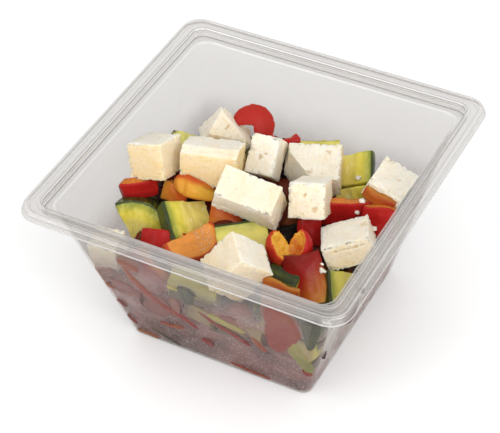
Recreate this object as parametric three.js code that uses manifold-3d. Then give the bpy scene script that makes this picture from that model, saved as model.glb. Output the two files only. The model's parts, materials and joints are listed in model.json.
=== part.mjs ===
// A square clear tub, open at the top, filled with chopped-vegetable salad and white cheese cubes.
// Millimetres, +Z up. The origin is the middle of the tub's base, and the front wall faces -Y.

import * as THREE from 'three';
import Module from 'manifold-3d';
import { ConvexGeometry } from 'three/addons/geometries/ConvexGeometry.js';
import { mergeVertices } from 'three/addons/utils/BufferGeometryUtils.js';

const wasm = await Module();
wasm.setup();

// ---- Driving dimensions -------------------------------------------------------------------------

const RIM_HALF = 67.8;        // half the side of the square rim, at its top edge
const HEIGHT = 80;            // base to rim
const SHEET = 0.8;            // thickness of the formed plastic
const FLANGE_WIDTH = 6.3;     // flat top flange
const STEP_DROP = 4;          // from the flange down to the lid ledge
const LEDGE_WIDTH = 3;        // lid ledge, level, round the mouth
const SKIRT_DROP = 3;         // lip that turns down outside the flange
const SKIRT_FLARE = 1;        // how far the lip spreads outwards
const BASE_HALF = 40.5;       // half the side of the base, outside
const BASE_ROUND = 1.2;       // rounding between base and walls
const RIM_CORNER = 8;         // corner radii of the square sections
const FLANGE_CORNER = 4.5;
const MOUTH_CORNER = 6;
const BASE_CORNER = 4;
const CORNER_STEPS = 5;       // facets in each rounded corner
const ARC_STEPS = 4;          // facets along the arc of a cucumber or pepper piece

const GAP = 0.3;              // clearance between neighbouring pieces
const FILL_AT_WALL = 38;      // height of the packed vegetables along the walls
const FILL_AT_MIDDLE = 42;    // and in the middle of the tub
const LUMPS = 1.8;            // unevenness of their surface
const FINE_LUMPS = 1.1;       // and of the smaller bumps on it
const LUMP_LENGTH = 5.5;      // waviness of the bumps
const FINE_LUMP_LENGTH = 4;
const HEAP_CELLS = 16;        // squares across it
const PILE_RADIUS = 8;        // reach of the pile that carries a piece
const PILE_BELOW = 5;         // its top, below the middle of a cheese cube

const PEPPER_WALL = 4.2;      // thickness of the pepper's flesh
const CHEESE_BEVEL = 0.9;     // crumbled edge of a cheese cube
const LOBE_CUT = 1.8;         // how far from its middle each lobe of a pepper's tip is cut open
const LOBE_SPLAY = 14;        // degrees that the lobes spread apart
const LOBE_CUT_FACES = new THREE.Vector3(0.75, 0.45, 0.5).normalize();

// ---- Tub: rounded-square sections joined into one shell --------------------------------------------

const LEDGE_TOP = HEIGHT - STEP_DROP;
const FLANGE_IN = RIM_HALF - FLANGE_WIDTH;
const MOUTH_HALF = FLANGE_IN - LEDGE_WIDTH;
const WALL_SLOPE = (MOUTH_HALF + SHEET - BASE_HALF) / (LEDGE_TOP - SHEET);

const outerHalf = (z) => BASE_HALF + WALL_SLOPE * z;
const innerHalf = (z) => outerHalf(z) - SHEET;
const wallCorner = (z) => BASE_CORNER + (MOUTH_CORNER - BASE_CORNER) * (z / LEDGE_TOP);

function roundedSquare(half, corner, z) {
  const points = [];
  for (let quarter = 0; quarter < 4; quarter++) {
    const signX = quarter === 0 || quarter === 3 ? 1 : -1;
    const signY = quarter < 2 ? 1 : -1;
    for (let step = 0; step <= CORNER_STEPS; step++) {
      const angle = (quarter + step / CORNER_STEPS) * Math.PI / 2;
      points.push(new THREE.Vector3(
        signX * (half - corner) + corner * Math.cos(angle),
        signY * (half - corner) + corner * Math.sin(angle),
        z,
      ));
    }
  }
  return points;
}

// Joins equal-length rings into a closed body: a fan over the first ring, walls between the rings
// in turn, and a fan over the last. The first ring is the outside bottom, so its fan faces down.
function loft(rings, firstCentre, lastCentre) {
  const count = rings[0].length;
  const vertices = [firstCentre, ...rings.flat(), lastCentre];
  const last = vertices.length - 1;
  const index = [];
  const at = (ring, i) => 1 + ring * count + (i % count);
  for (let i = 0; i < count; i++) {
    index.push(0, at(0, i + 1), at(0, i));
    for (let ring = 0; ring < rings.length - 1; ring++) {
      index.push(at(ring, i), at(ring, i + 1), at(ring + 1, i + 1));
      index.push(at(ring, i), at(ring + 1, i + 1), at(ring + 1, i));
    }
    index.push(last, at(rings.length - 1, i), at(rings.length - 1, i + 1));
  }
  const geometry = new THREE.BufferGeometry().setFromPoints(vertices);
  geometry.setIndex(index);
  return geometry;
}

function tubGeometry() {
  const lip = SHEET;                            // rounding at the outer edge of the flange
  const underLedge = LEDGE_TOP - SHEET;
  const underFlange = HEIGHT - SHEET;
  const skirtFoot = HEIGHT - SKIRT_DROP;
  const section = [
    [BASE_HALF - BASE_ROUND, BASE_CORNER, 0],
    [outerHalf(BASE_ROUND), BASE_CORNER, BASE_ROUND],
    [outerHalf(underLedge), MOUTH_CORNER, underLedge],
    [FLANGE_IN + SHEET, FLANGE_CORNER + SHEET, underLedge],
    [FLANGE_IN + SHEET, FLANGE_CORNER + SHEET, underFlange],
    [RIM_HALF - SHEET, RIM_CORNER - SHEET, underFlange],
    [RIM_HALF + SKIRT_FLARE - SHEET, RIM_CORNER, skirtFoot],
    [RIM_HALF + SKIRT_FLARE, RIM_CORNER + SKIRT_FLARE, skirtFoot],
    [RIM_HALF, RIM_CORNER, HEIGHT - lip],
    [RIM_HALF - lip, RIM_CORNER - lip, HEIGHT],
    [FLANGE_IN, FLANGE_CORNER, HEIGHT],
    [FLANGE_IN, FLANGE_CORNER, LEDGE_TOP],
    [MOUTH_HALF, MOUTH_CORNER, LEDGE_TOP],
    [innerHalf(SHEET + BASE_ROUND), BASE_CORNER, SHEET + BASE_ROUND],
    [innerHalf(SHEET) - BASE_ROUND, BASE_CORNER, SHEET],
  ];
  const rings = section.map(([half, corner, z]) => roundedSquare(half, corner, z));
  return loft(rings, new THREE.Vector3(0, 0, 0), new THREE.Vector3(0, 0, SHEET));
}

// ---- Solids: three.js geometry to manifold and back --------------------------------------------------

function solid(geometry) {
  const bare = geometry.clone();
  bare.deleteAttribute('normal');
  bare.deleteAttribute('uv');
  const merged = mergeVertices(bare, 1e-4);
  return new wasm.Manifold(new wasm.Mesh({
    numProp: 3,
    vertProperties: Float32Array.from(merged.attributes.position.array),
    triVerts: Uint32Array.from(merged.index.array),
  }));
}

function geometryOf(manifold) {
  const { vertProperties, triVerts } = manifold.getMesh();
  const geometry = new THREE.BufferGeometry();
  geometry.setAttribute('position', new THREE.BufferAttribute(Float32Array.from(vertProperties), 3));
  geometry.setIndex(Array.from(triVerts));
  return geometry;
}

// The largest body left after a cut, so that no loose sliver stays beside it.
function largestBody(manifold) {
  return manifold.decompose().reduce((a, b) => (b.volume() > a.volume() ? b : a));
}

// ---- Food shapes, each centred on its own origin and grown by the clearance when it cuts others ------

// A cube or block of cheese with bevelled edges: the hull of three points beside each corner.
function cheeseBlock({ size }, grow) {
  const [x, y, z] = size.map((side) => side / 2 + grow);
  const b = CHEESE_BEVEL;
  const points = [];
  for (const sx of [-1, 1]) for (const sy of [-1, 1]) for (const sz of [-1, 1]) {
    points.push(new THREE.Vector3(sx * (x - b), sy * (y - b), sz * z));
    points.push(new THREE.Vector3(sx * (x - b), sy * y, sz * (z - b)));
    points.push(new THREE.Vector3(sx * x, sy * (y - b), sz * (z - b)));
  }
  return new ConvexGeometry(points);
}

// A chunk cut from a cucumber that was quartered lengthwise: a sector of the round, skin upwards,
// with the cucumber's length along Y.
function cucumberChunk({ radius, span, length }, grow) {
  const half = THREE.MathUtils.degToRad(span / 2);
  const outer = radius + grow;
  const reach = half + Math.asin(grow / outer);
  const outline = new THREE.Shape();
  outline.moveTo(0, -grow / Math.sin(half));
  outline.lineTo(outer * Math.sin(reach), outer * Math.cos(reach));
  outline.absarc(0, 0, outer, Math.PI / 2 - reach, Math.PI / 2 + reach, false);
  outline.closePath();
  return extrudedAlongY(outline, length + 2 * grow, ARC_STEPS).translate(0, 0, -radius / 2);
}

// A piece cut from the wall of a pepper: a band bowed round Y, skin on its outer, upper side.
function pepperPiece({ radius, chord, length }, grow) {
  const outer = radius + grow;
  const inner = radius - PEPPER_WALL - grow;
  const half = Math.asin(Math.min(chord / 2 / radius, 1)) + grow / (radius - PEPPER_WALL);
  const outline = new THREE.Shape();
  outline.absarc(0, 0, outer, Math.PI / 2 - half, Math.PI / 2 + half, false);
  outline.absarc(0, 0, inner, Math.PI / 2 + half, Math.PI / 2 - half, true);
  outline.closePath();
  return extrudedAlongY(outline, length + 2 * grow, ARC_STEPS).translate(0, 0, PEPPER_WALL / 2 - radius);
}

// A ball drawn out along Y. Its poles are on that axis.
function drawnBall(radius, length, segments, rings) {
  const ball = new THREE.SphereGeometry(radius, segments, rings).rotateX(Math.PI / 2);
  return ball.scale(1, length / 2 / radius, 1);
}

// What lies below a flat cut through a point, the cut's face looking along a direction.
function cutOpen(manifold, point, facing, grow) {
  return manifold.trimByPlane(facing.clone().negate().toArray(), -facing.dot(point) - grow);
}

// A wedge of tomato: a drawn-out ball with flat cuts, and with a quarter missing where it says so.
function tomatoWedge({ radius, length, cuts, quartered }, grow) {
  let wedge = solid(drawnBall(radius + grow, length + 2 * grow, 14, 9));
  for (const { through, facing } of cuts) {
    wedge = cutOpen(wedge, new THREE.Vector3(...through), new THREE.Vector3(...facing).normalize(), grow);
  }
  if (quartered) {
    const quarter = new THREE.BoxGeometry(2 * radius, length, 4 * radius);
    wedge = wedge.subtract(solid(quarter.translate(-radius - grow, -length / 2 - grow, 0)));
  }
  return geometryOf(wedge);
}

// The blossom end of a pepper with two of its lobes, side by side and cut open towards the middle.
function pepperLobes({ radius, length, spread }, grow) {
  const lobe = (side) => {
    const ball = drawnBall(radius + grow, length + 2 * grow, 12, 8).scale(1, 1, 0.9);
    ball.rotateZ(-side * THREE.MathUtils.degToRad(LOBE_SPLAY)).translate(side * spread, 0, 0);
    const facing = new THREE.Vector3(-side * LOBE_CUT_FACES.x, LOBE_CUT_FACES.y, LOBE_CUT_FACES.z);
    const point = new THREE.Vector3(side * spread, 0, 0).addScaledVector(facing, LOBE_CUT);
    return cutOpen(solid(ball), point, facing, grow);
  };
  return geometryOf(lobe(-1).add(lobe(1)));
}

function extrudedAlongY(outline, length, curveSegments) {
  const geometry = new THREE.ExtrudeGeometry(outline, { depth: length, bevelEnabled: false, curveSegments });
  return geometry.translate(0, 0, -length / 2).rotateX(Math.PI / 2);
}

// ---- Where the pieces lie ------------------------------------------------------------------------------
// at: the middle of the piece. turn: about +Z. tip: then about X. lean: then about the piece's own Y.

const CHEESE = {
  cheese_far_left: { at: [-46.2, -2.2, 62.9], turn: 0, tip: -21, lean: -14, size: [15.6, 17.1, 15.1] },
  cheese_left_long: { at: [-24.7, 6, 61.3], turn: 14, tip: -21, lean: -1, size: [23.5, 15.4, 15.7] },
  cheese_back_peak: { at: [-33.5, 30, 54.5], turn: 30, tip: -12, lean: 47, size: [14.5, 14, 14] },
  cheese_back_middle: { at: [-8.7, 22.3, 58.5], turn: 7, tip: 42, lean: 3, size: [11.5, 14.3, 15.8] },
  cheese_back_right: { at: [9.9, 28.3, 52.9], turn: 22, tip: 14, lean: -1, size: [21.6, 17.4, 12.6] },
  cheese_middle: { at: [-1.7, -8.1, 63.4], turn: 3, tip: 25, lean: 18, size: [23.7, 13, 16.1] },
  cheese_middle_right: { at: [19, 6.1, 59.6], turn: 14, tip: -32, lean: -5, size: [14.4, 17.2, 14.3] },
  cheese_right_back: { at: [43.7, 26.5, 59.6], turn: 0, tip: 0, lean: 23, size: [14.8, 16.9, 9] },
  cheese_right_front: { at: [40.2, -3.5, 52], turn: 26, tip: -11, lean: -18, size: [19.4, 16.7, 11.1] },
  cheese_front: { at: [9.2, -37.4, 55.7], turn: -42, tip: -43, lean: 9, size: [15.8, 17.2, 18.7] },
  cheese_front_left: { at: [-45, -43.5, 48], turn: 8, tip: 8, lean: 0, size: [12, 11, 13] },
};

const CUCUMBER = {
  cucumber_left: { at: [-45.4, -18.5, 43], turn: 30, tip: -30, lean: 25, radius: 17, span: 92, length: 16 },
  cucumber_left_pale: {
    at: [-25.5, -15.5, 43.5], turn: 45, tip: 25, lean: -110, radius: 20, span: 92, length: 17,
  },
  cucumber_front_pale: { at: [0, -17, 42], turn: -52, tip: 0, lean: -100, radius: 17, span: 90, length: 22 },
  cucumber_back_right: { at: [22, 41, 45.5], turn: 25, tip: 25, lean: 112, radius: 15, span: 88, length: 14 },
  cucumber_back_right_low: {
    at: [27, 28.5, 43], turn: 32, tip: 45, lean: 112, radius: 15, span: 90, length: 10,
  },
  cucumber_back: { at: [4, 45, 45], turn: -64, tip: 0, lean: 160, radius: 14, span: 84, length: 17 },
  cucumber_back_left: { at: [-47.5, 23, 46], turn: 40, tip: 0, lean: -105, radius: 14, span: 86, length: 13 },
  cucumber_right_front: {
    at: [42.5, -16, 38], turn: 30, tip: 35, lean: -112, radius: 15, span: 90, length: 14,
  },
  cucumber_front_skin: { at: [23, -26, 42], turn: -95, tip: 0, lean: 45, radius: 11, span: 84, length: 13 },
  cucumber_front_wall: {
    at: [-5, -44.5, 47], turn: -78, tip: 0, lean: 165, radius: 14, span: 90, length: 20,
  },
  cucumber_front_low: { at: [9, -42, 32], turn: -70, tip: 0, lean: 175, radius: 13, span: 88, length: 18 },
  cucumber_front_corner: { at: [45, -43, 37], turn: 4, tip: 10, lean: 8, radius: 18, span: 74, length: 14 },
};

const PEPPER = {
  pepper_left: { at: [-51.5, -15.2, 53.2], turn: 27, tip: 86, lean: 0, radius: 17, chord: 23, length: 8 },
  pepper_left_small: {
    at: [-35.5, -7.2, 51.2], turn: -5, tip: 60, lean: 0, radius: 12, chord: 12, length: 8,
  },
  pepper_orange: { at: [-26.5, -7.4, 57.3], turn: 18, tip: 50, lean: 0, radius: 11, chord: 18, length: 9 },
  pepper_left_front: { at: [-29, -28.5, 45.5], turn: 20, tip: 38, lean: 0, radius: 14, chord: 15, length: 9 },
  pepper_curl_front: {
    at: [31.5, -23.5, 45.5], turn: 45, tip: 42, lean: -22, radius: 16, chord: 16, length: 22,
  },
  pepper_right: { at: [31, 13.5, 48], turn: 22, tip: 82, lean: 0, radius: 26, chord: 22, length: 12 },
  pepper_right_back: {
    at: [43.4, 15.4, 60.8], turn: -90, tip: 67, lean: 90, radius: 22, chord: 15, length: 5.5,
  },
  pepper_right_low: { at: [45.3, 13.5, 50], turn: 6, tip: 76, lean: 0, radius: 20, chord: 14, length: 13 },
  pepper_middle_right: { at: [21, 1, 46], turn: 30, tip: 60, lean: 0, radius: 9, chord: 10, length: 11 },
  pepper_front_strip: { at: [26.8, -39.3, 41], turn: 2, tip: 76, lean: 0, radius: 45, chord: 17, length: 27 },
  pepper_middle: { at: [-12, -7.5, 48], turn: 10, tip: 48, lean: 0, radius: 14, chord: 14, length: 9 },
  pepper_back_strip: { at: [-9, 33.5, 57], turn: 20, tip: 60, lean: 8, radius: 24, chord: 17, length: 3.5 },
  pepper_front_left: { at: [-25, -48, 48], turn: -90, tip: 40, lean: 90, radius: 30, chord: 21, length: 13 },
};

const TOMATO = {
  tomato_front_left: {
    at: [-17.5, -26.5, 48], turn: -40, tip: 0, lean: -150, radius: 9.4, length: 25,
    cuts: [
      { through: [0, 0, -4.7], facing: [0, 0, -1] },
      { through: [2.3, -5, 0], facing: [0.98, -0.17, 0] },
      { through: [0, 9.8, 0], facing: [-0.2, 1, 0] },
    ],
  },
  tomato_back: {
    at: [-26.8, 43.9, 50.9], turn: 30, tip: 47, lean: 0, radius: 11.6, length: 23.2,
    cuts: [{ through: [0, 0, 7], facing: [0, 0, -1] }],
    quartered: true,
  },
};

const PEPPER_TIP = {
  pepper_lobes: { at: [21, -16.7, 52.6], turn: 30, tip: 72, lean: 0, radius: 5.2, length: 15, spread: 4 },
};

// The piles of packed vegetables that the high pieces rest on: where, and how high.
const PILES = [
  ...Object.values(CHEESE).map(({ at: [x, y, z] }) => [x, y, z - PILE_BELOW]),
  [-23.5, 36, 53],            // under the slice of tomato
  [-27, -6, 51],              // under the orange pepper at the left
  [-9, 33.5, 55.5],           // under the strip of pepper at the back
  [21, -16.7, 47.5],          // under the lobes
  [-47, -14, 49],             // under the pepper at the left wall
  [-25, -46, 44],             // behind the pepper at the front wall
];

// ---- Finishes ---------------------------------------------------------------------------------------------

const plain = (color, roughness) => new THREE.MeshStandardMaterial({ color, roughness, metalness: 0 });
const FINISH = {
  tub: () => new THREE.MeshStandardMaterial({
    color: 0xdfe2e2, roughness: 0.12, metalness: 0, transparent: true, opacity: 0.35,
  }),
  heap: () => plain(0xb56a3c, 0.5),
  cheese: () => plain(0xf6efdf, 0.6),
  cucumber: () => plain(0xc3c45c, 0.4),
  pepper: () => plain(0xb5281b, 0.3),
  tomato: () => plain(0xd0652c, 0.3),
};

// ---- Assembly ---------------------------------------------------------------------------------------------

const part = new THREE.Group();

function add(name, geometry, material) {
  const mesh = new THREE.Mesh(geometry, material);
  mesh.name = name;
  part.add(mesh);
}

function placement({ at, turn, tip, lean }) {
  const rad = THREE.MathUtils.degToRad;
  const rotation = new THREE.Euler(rad(tip), rad(lean), rad(turn), 'ZXY');
  const move = new THREE.Vector3(...at);
  const whole = new THREE.Vector3(1, 1, 1);
  return new THREE.Matrix4().compose(move, new THREE.Quaternion().setFromEuler(rotation), whole);
}

// The space inside the tub, less the clearance, that every piece of food is kept to.
function roomInside() {
  const low = SHEET + GAP;
  const rings = [
    roundedSquare(innerHalf(low) - BASE_ROUND - GAP, BASE_CORNER, low),
    roundedSquare(innerHalf(low + BASE_ROUND) - GAP, BASE_CORNER, low + BASE_ROUND),
    roundedSquare(innerHalf(LEDGE_TOP) - GAP, MOUTH_CORNER, LEDGE_TOP),
  ];
  return loft(rings, new THREE.Vector3(0, 0, low), new THREE.Vector3(0, 0, LEDGE_TOP));
}

// The packed vegetables under the pieces on top: low along the walls, level from halfway to the
// middle, piled up under each cheese and each high piece, and as uneven as chunks of this size leave it.
function heapHeight(x, y) {
  const inward = 1 - Math.max(Math.abs(x), Math.abs(y)) / innerHalf(FILL_AT_WALL);
  const level = Math.min(1, 2 * Math.max(0, inward));
  let height = FILL_AT_WALL + (FILL_AT_MIDDLE - FILL_AT_WALL) * level;
  height += LUMPS * Math.sin(x / LUMP_LENGTH + 1) * Math.cos(y / LUMP_LENGTH);
  height += FINE_LUMPS * Math.sin((x + y) / FINE_LUMP_LENGTH);
  for (const [middleX, middleY, top] of PILES) {
    const near = Math.exp(-((x - middleX) ** 2 + (y - middleY) ** 2) / PILE_RADIUS ** 2);
    height = Math.max(height, height * (1 - near) + top * near);
  }
  return height;
}

function packedFill() {
  const low = SHEET + GAP;
  const half = innerHalf(HEIGHT);
  const slab = new THREE.BoxGeometry(2 * half, 2 * half, 1, HEAP_CELLS, HEAP_CELLS, 1).toNonIndexed();
  const corner = slab.attributes.position;
  for (let i = 0; i < corner.count; i++) {
    const top = corner.getZ(i) > 0;
    corner.setZ(i, top ? heapHeight(corner.getX(i), corner.getY(i)) : low);
  }
  return slab;
}

add('tub', tubGeometry(), FINISH.tub());

const room = solid(roomInside());
const kinds = [
  [CHEESE, cheeseBlock, FINISH.cheese],
  [PEPPER, pepperPiece, FINISH.pepper],
  [PEPPER_TIP, pepperLobes, FINISH.pepper],
  [TOMATO, tomatoWedge, FINISH.tomato],
  [CUCUMBER, cucumberChunk, FINISH.cucumber],
];
let taken = null;             // all the pieces placed so far, each grown by the clearance
for (const [pieces, shape, finish] of kinds) {
  for (const [name, piece] of Object.entries(pieces)) {
    const place = placement(piece);
    let body = solid(shape(piece, 0).applyMatrix4(place)).intersect(room);
    if (taken) body = body.subtract(taken);
    add(name, geometryOf(largestBody(body)), finish());
    const grown = solid(shape(piece, GAP).applyMatrix4(place));
    taken = taken ? taken.add(grown) : grown;
  }
}
const fill = solid(packedFill()).intersect(room).subtract(taken);
add('salad_heap', geometryOf(largestBody(fill)), FINISH.heap());

export default part;
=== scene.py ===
"""Shopska salad in a clear tub: the fine shapes and finishes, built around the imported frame."""

import json
import math
import random

import bpy
import numpy as np
from mathutils import Matrix, Quaternion, Vector, noise
from mathutils.bvhtree import BVHTree

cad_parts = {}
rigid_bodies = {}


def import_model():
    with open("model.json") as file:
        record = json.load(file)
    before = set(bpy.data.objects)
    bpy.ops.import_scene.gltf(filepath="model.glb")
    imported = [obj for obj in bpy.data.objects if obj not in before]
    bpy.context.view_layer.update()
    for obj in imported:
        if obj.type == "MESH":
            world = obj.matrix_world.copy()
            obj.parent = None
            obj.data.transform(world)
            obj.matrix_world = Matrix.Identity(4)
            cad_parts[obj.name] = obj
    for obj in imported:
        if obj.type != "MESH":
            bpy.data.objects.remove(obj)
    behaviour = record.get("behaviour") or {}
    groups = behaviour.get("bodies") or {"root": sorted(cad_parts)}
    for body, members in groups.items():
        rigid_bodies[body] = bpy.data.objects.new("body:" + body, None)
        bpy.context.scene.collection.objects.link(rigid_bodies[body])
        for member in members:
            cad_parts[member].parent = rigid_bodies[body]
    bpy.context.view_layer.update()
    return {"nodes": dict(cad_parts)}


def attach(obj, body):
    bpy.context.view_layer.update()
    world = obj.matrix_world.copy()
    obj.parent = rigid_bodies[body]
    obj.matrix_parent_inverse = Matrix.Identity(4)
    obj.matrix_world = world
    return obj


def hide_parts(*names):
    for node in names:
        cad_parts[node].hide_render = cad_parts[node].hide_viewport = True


bl_info = {
    "name": "Shopska Salad",
    "version": (1, 0, 0),
    "blender": (4, 5, 0),
    "location": "View3D > Sidebar > Salad",
    "description": "Cheese cubes and chopped vegetables in a clear square tub",
    "category": "Add Mesh",
}

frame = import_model()

# ---- Sizes, in millimetres ---------------------------------------------------------------------

MM = 0.001
SHEET = 0.8                 # thickness of the formed plastic; the wall thins a little downwards
LEDGE_TOP = 76.0            # level ledge round the mouth
MOUTH_HALF = 58.5           # half sides inside the mouth and outside the base
BASE_HALF = 40.5
WALL_SLOPE = (MOUTH_HALF + SHEET - BASE_HALF) / (LEDGE_TOP - SHEET)
BASE_CORNER = 4.0
MOUTH_CORNER = 6.0
PRESS = 0.35                # how far wet food reaches into the wall it lies against
PEPPER_WALL = 4.2           # thickness of the pepper's flesh
THIN_WALLS = {"pepper_front_strip": 2.6}
MIST = 0.6                  # how much the mist inside the wall dulls a piece that lies at it
PACKED_MIST = 0.75
MIST_FADES = (42.0, 56.0)   # between these heights the mist comes to an end
CORE_DEPTH = 5.0            # how far the dark core lies under the outline of the heap

# Rounded-square sections of the tub: half side, corner radius and height, from the middle of the
# outside base, up the wall, over the flange and down the inside. The last number paints a line along a
# tight bend: over 0 a painted highlight, under 0 a painted dark line.
TUB_SECTIONS = (
    (38.6, 3.2, 0.0, 0), (39.7, 3.7, 0.25, -0.3), (40.5, 4.0, 1.0, 0),
    (59.1, 6.0, 74.7, 0), (59.6, 6.0, 75.2, 0), (61.7, 5.2, 75.3, -0.3), (62.3, 5.3, 75.9, 0),
    (62.3, 5.3, 78.4, 0), (62.9, 5.6, 79.0, 0), (66.6, 7.0, 78.93, 0), (67.4, 7.6, 78.6, 0),
    (68.1, 8.2, 77.0, 0), (68.8, 9.0, 76.93, 0.7), (68.75, 8.9, 77.3, -0.5), (68.55, 8.7, 77.8, 0),
    (67.9, 8.1, 79.2, 0), (67.7, 7.9, 79.6, -0.5), (67.4, 7.7, 79.85, 0.3), (66.9, 7.3, 80.0, 0.5),
    (66.4, 7.0, 79.9, 0), (66.1, 6.8, 79.55, -0.4), (65.6, 6.6, 79.45, 0), (63.9, 5.8, 79.4, 0),
    (63.5, 5.6, 79.55, -0.3), (63.2, 5.5, 79.85, 0.2), (62.6, 5.2, 80.0, 0.1), (62.0, 4.8, 79.95, 0.6),
    (61.7, 4.6, 79.7, -0.1), (61.5, 4.5, 79.3, -0.7), (61.45, 4.5, 78.8, 0), (61.3, 4.4, 76.7, 0),
    (61.1, 4.4, 76.2, -0.6), (60.7, 4.5, 76.05, 0), (59.4, 5.8, 76.0, 0), (58.9, 6.0, 75.9, 0.6),
    (58.6, 6.0, 75.6, 0), (58.4, 6.0, 75.0, -0.2), (58.3, 6.0, 74.4, 0), (40.3, 4.0, 2.0, 0),
    (39.6, 3.8, 1.2, -0.2), (38.4, 3.4, 0.8, 0),
)
INNER_RINGS = 5             # how many of the last sections line the inside of the wall and the base
TUB_CORNER_STEPS = 10

# Where the pieces lie, here and in the next tables: the middle in millimetres, then the turn about Z, the
# tip about X and the lean about the piece's own Y, in degrees. For the cheese, then its size.
CHEESE = {
    "cheese_far_left": ((-46.2, -2.2, 62.9), (0, -21, -14), (15.6, 17.1, 15.1)),
    "cheese_left_long": ((-24.7, 6, 61.3), (14, -21, -1), (23.5, 15.4, 15.7)),
    "cheese_back_peak": ((-32.8, 30.4, 53.6), (30, -12, 47), (16.9, 14, 14)),
    "cheese_back_middle": ((-8.7, 21.6, 57.9), (7, 42, 3), (11.7, 16.2, 15.8)),
    "cheese_back_right": ((9.9, 28.3, 52.9), (22, 14, -1), (21.6, 17.4, 12.6)),
    "cheese_middle": ((-1.7, -8.1, 63.4), (3, 25, 18), (23.7, 13, 16.1)),
    "cheese_middle_right": ((19, 6.1, 59.6), (14, -32, -5), (14.4, 17.2, 14.3)),
    "cheese_right_back": ((43.7, 26.5, 59.6), (0, 0, 23), (14.8, 16.9, 9)),
    "cheese_right_front": ((40.2, -3.5, 52), (26, -11, -18), (19.4, 16.7, 11.1)),
    "cheese_front": ((9.2, -37.4, 55.7), (-42, -43, 9), (15.8, 17.2, 18.7)),
    "cheese_front_left": ((-45, -43.5, 48), (8, 8, 0), (12, 11, 13)),
}

# How much yellow-tan painted shade the front, right, left and top faces of each cube get.
CHEESE_FACE_SHADE = {
    "cheese_far_left": (0.75, 0.6, 0.1, 0), "cheese_left_long": (0.8, 1.0, 0.1, 0),
    "cheese_back_peak": (0.5, 0.7, 0, 0.25), "cheese_back_middle": (0.15, 0.1, 0.1, 0),
    "cheese_back_right": (0.2, 1.0, 0, 0), "cheese_middle": (0, 0.35, 0.1, 0.2),
    "cheese_middle_right": (0.2, 0.45, 0.1, 0), "cheese_right_back": (0.2, 0.2, 0.2, 0),
    "cheese_right_front": (0.4, 0.2, 0.1, 0), "cheese_front": (0.4, 0.5, 0.1, 0),
    "cheese_front_left": (0.2, 0.2, 0.2, 0),
}

# Corners cut off: a point on the cut, in shares of the cube's half size, and the direction that it faces.
CHEESE_CUTS = {
    "cheese_back_right": ((-0.62, -0.30, 0.0), (-1.0, -0.75, 0.25)),
    "cheese_left_long": ((0.0, -0.92, 0.72), (0.0, -0.75, 1.0)),
    "cheese_back_peak": ((-0.5, -0.5, 0.6), (-0.4, -0.6, 0.7)),
    "cheese_middle_right": ((-0.9, 0.2, 0.85), (-0.8, 0.1, 0.6)),
}

# How far a side stands out at its foot, in millimetres: the left side, then the right.
CHEESE_FLARES = {"cheese_middle": (0.0, 3.6), "cheese_back_right": (2.4, 0.0)}

# Holes and cracks: the middle in shares of the half size, then the radii in millimetres.
CHEESE_PITS = {
    "cheese_middle_right": (((0.42, -1.0, -0.45), (1.3, 1.2, 1.6)), ((-0.1, -1.0, 0.3), (0.6, 1.0, 1.0))),
    "cheese_back_middle": (((-0.1, -0.1, 1.0), (0.8, 1.5, 1.0)), ((0.15, 0.1, 1.0), (0.9, 0.5, 1.0))),
    "cheese_middle": (((-1.0, -0.2, 0.1), (2.2, 4.0, 0.7)), ((-0.6, -1.0, -0.3), (3.5, 1.5, 0.6))),
    "cheese_back_peak": (((-0.4, -0.6, 0.8), (0.7, 2.6, 1.6)), ((0.3, -1.0, 0.3), (1.8, 1.3, 0.8))),
    "cheese_right_back": (((0.35, 0.1, 1.0), (1.0, 0.8, 0.7)),),
    "cheese_right_front": (((0.1, -1.0, 0.5), (7.0, 0.6, 0.5)), ((0.8, 0.3, 1.0), (1.6, 2.4, 0.8))),
    "cheese_front": (((0.2, -1.0, -0.6), (4.0, 1.6, 1.2)), ((-1.0, 0.3, 0.2), (1.2, 3.0, 1.0))),
    "cheese_back_right": (((0.5, 0.6, 1.0), (1.2, 0.8, 0.8)), ((-0.2, -0.6, 1.0), (2.4, 0.7, 0.8))),
    "cheese_far_left": (((0.3, 0.5, 1.0), (3.0, 1.0, 0.7)),),
}

# Radius, span in degrees and length of each chunk, then how pale its flesh is.
CUCUMBER = {
    "cucumber_left": ((-45.4, -18.5, 43), (30, -30, 25), (17, 92, 16), 0),
    "cucumber_left_pale": ((-25.5, -15.5, 43.5), (45, 25, -110), (20, 92, 17), 0.1),
    "cucumber_front_pale": ((0, -17, 42), (-52, 0, -100), (17, 90, 22), 0.75),
    "cucumber_back_right": ((22, 41, 45.5), (25, 25, 112), (15, 88, 14), 0.15),
    "cucumber_back_right_low": ((27, 28.5, 43), (32, 45, 112), (15, 90, 10), 0.1),
    "cucumber_back": ((4, 45, 45), (-64, 0, 160), (14, 84, 17), 0.6),
    "cucumber_back_left": ((-47.5, 23, 46), (40, 0, -105), (14, 86, 13), 1.0),
    "cucumber_right_front": ((42.5, -16, 38), (30, 35, -98), (15, 90, 14), 0.3),
    "cucumber_front_skin": ((23, -26, 41), (-95, 0, 45), (11, 84, 13), 0),
    "cucumber_front_wall": ((-5, -44.5, 47), (-78, 0, 165), (14, 90, 20), 0.1),
    "cucumber_front_low": ((9, -42, 32), (-70, 0, 175), (13, 88, 18), 0.2),
    "cucumber_front_corner": ((45, -43, 37), (4, 10, 8), (18, 74, 14), 0.2),
}

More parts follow.
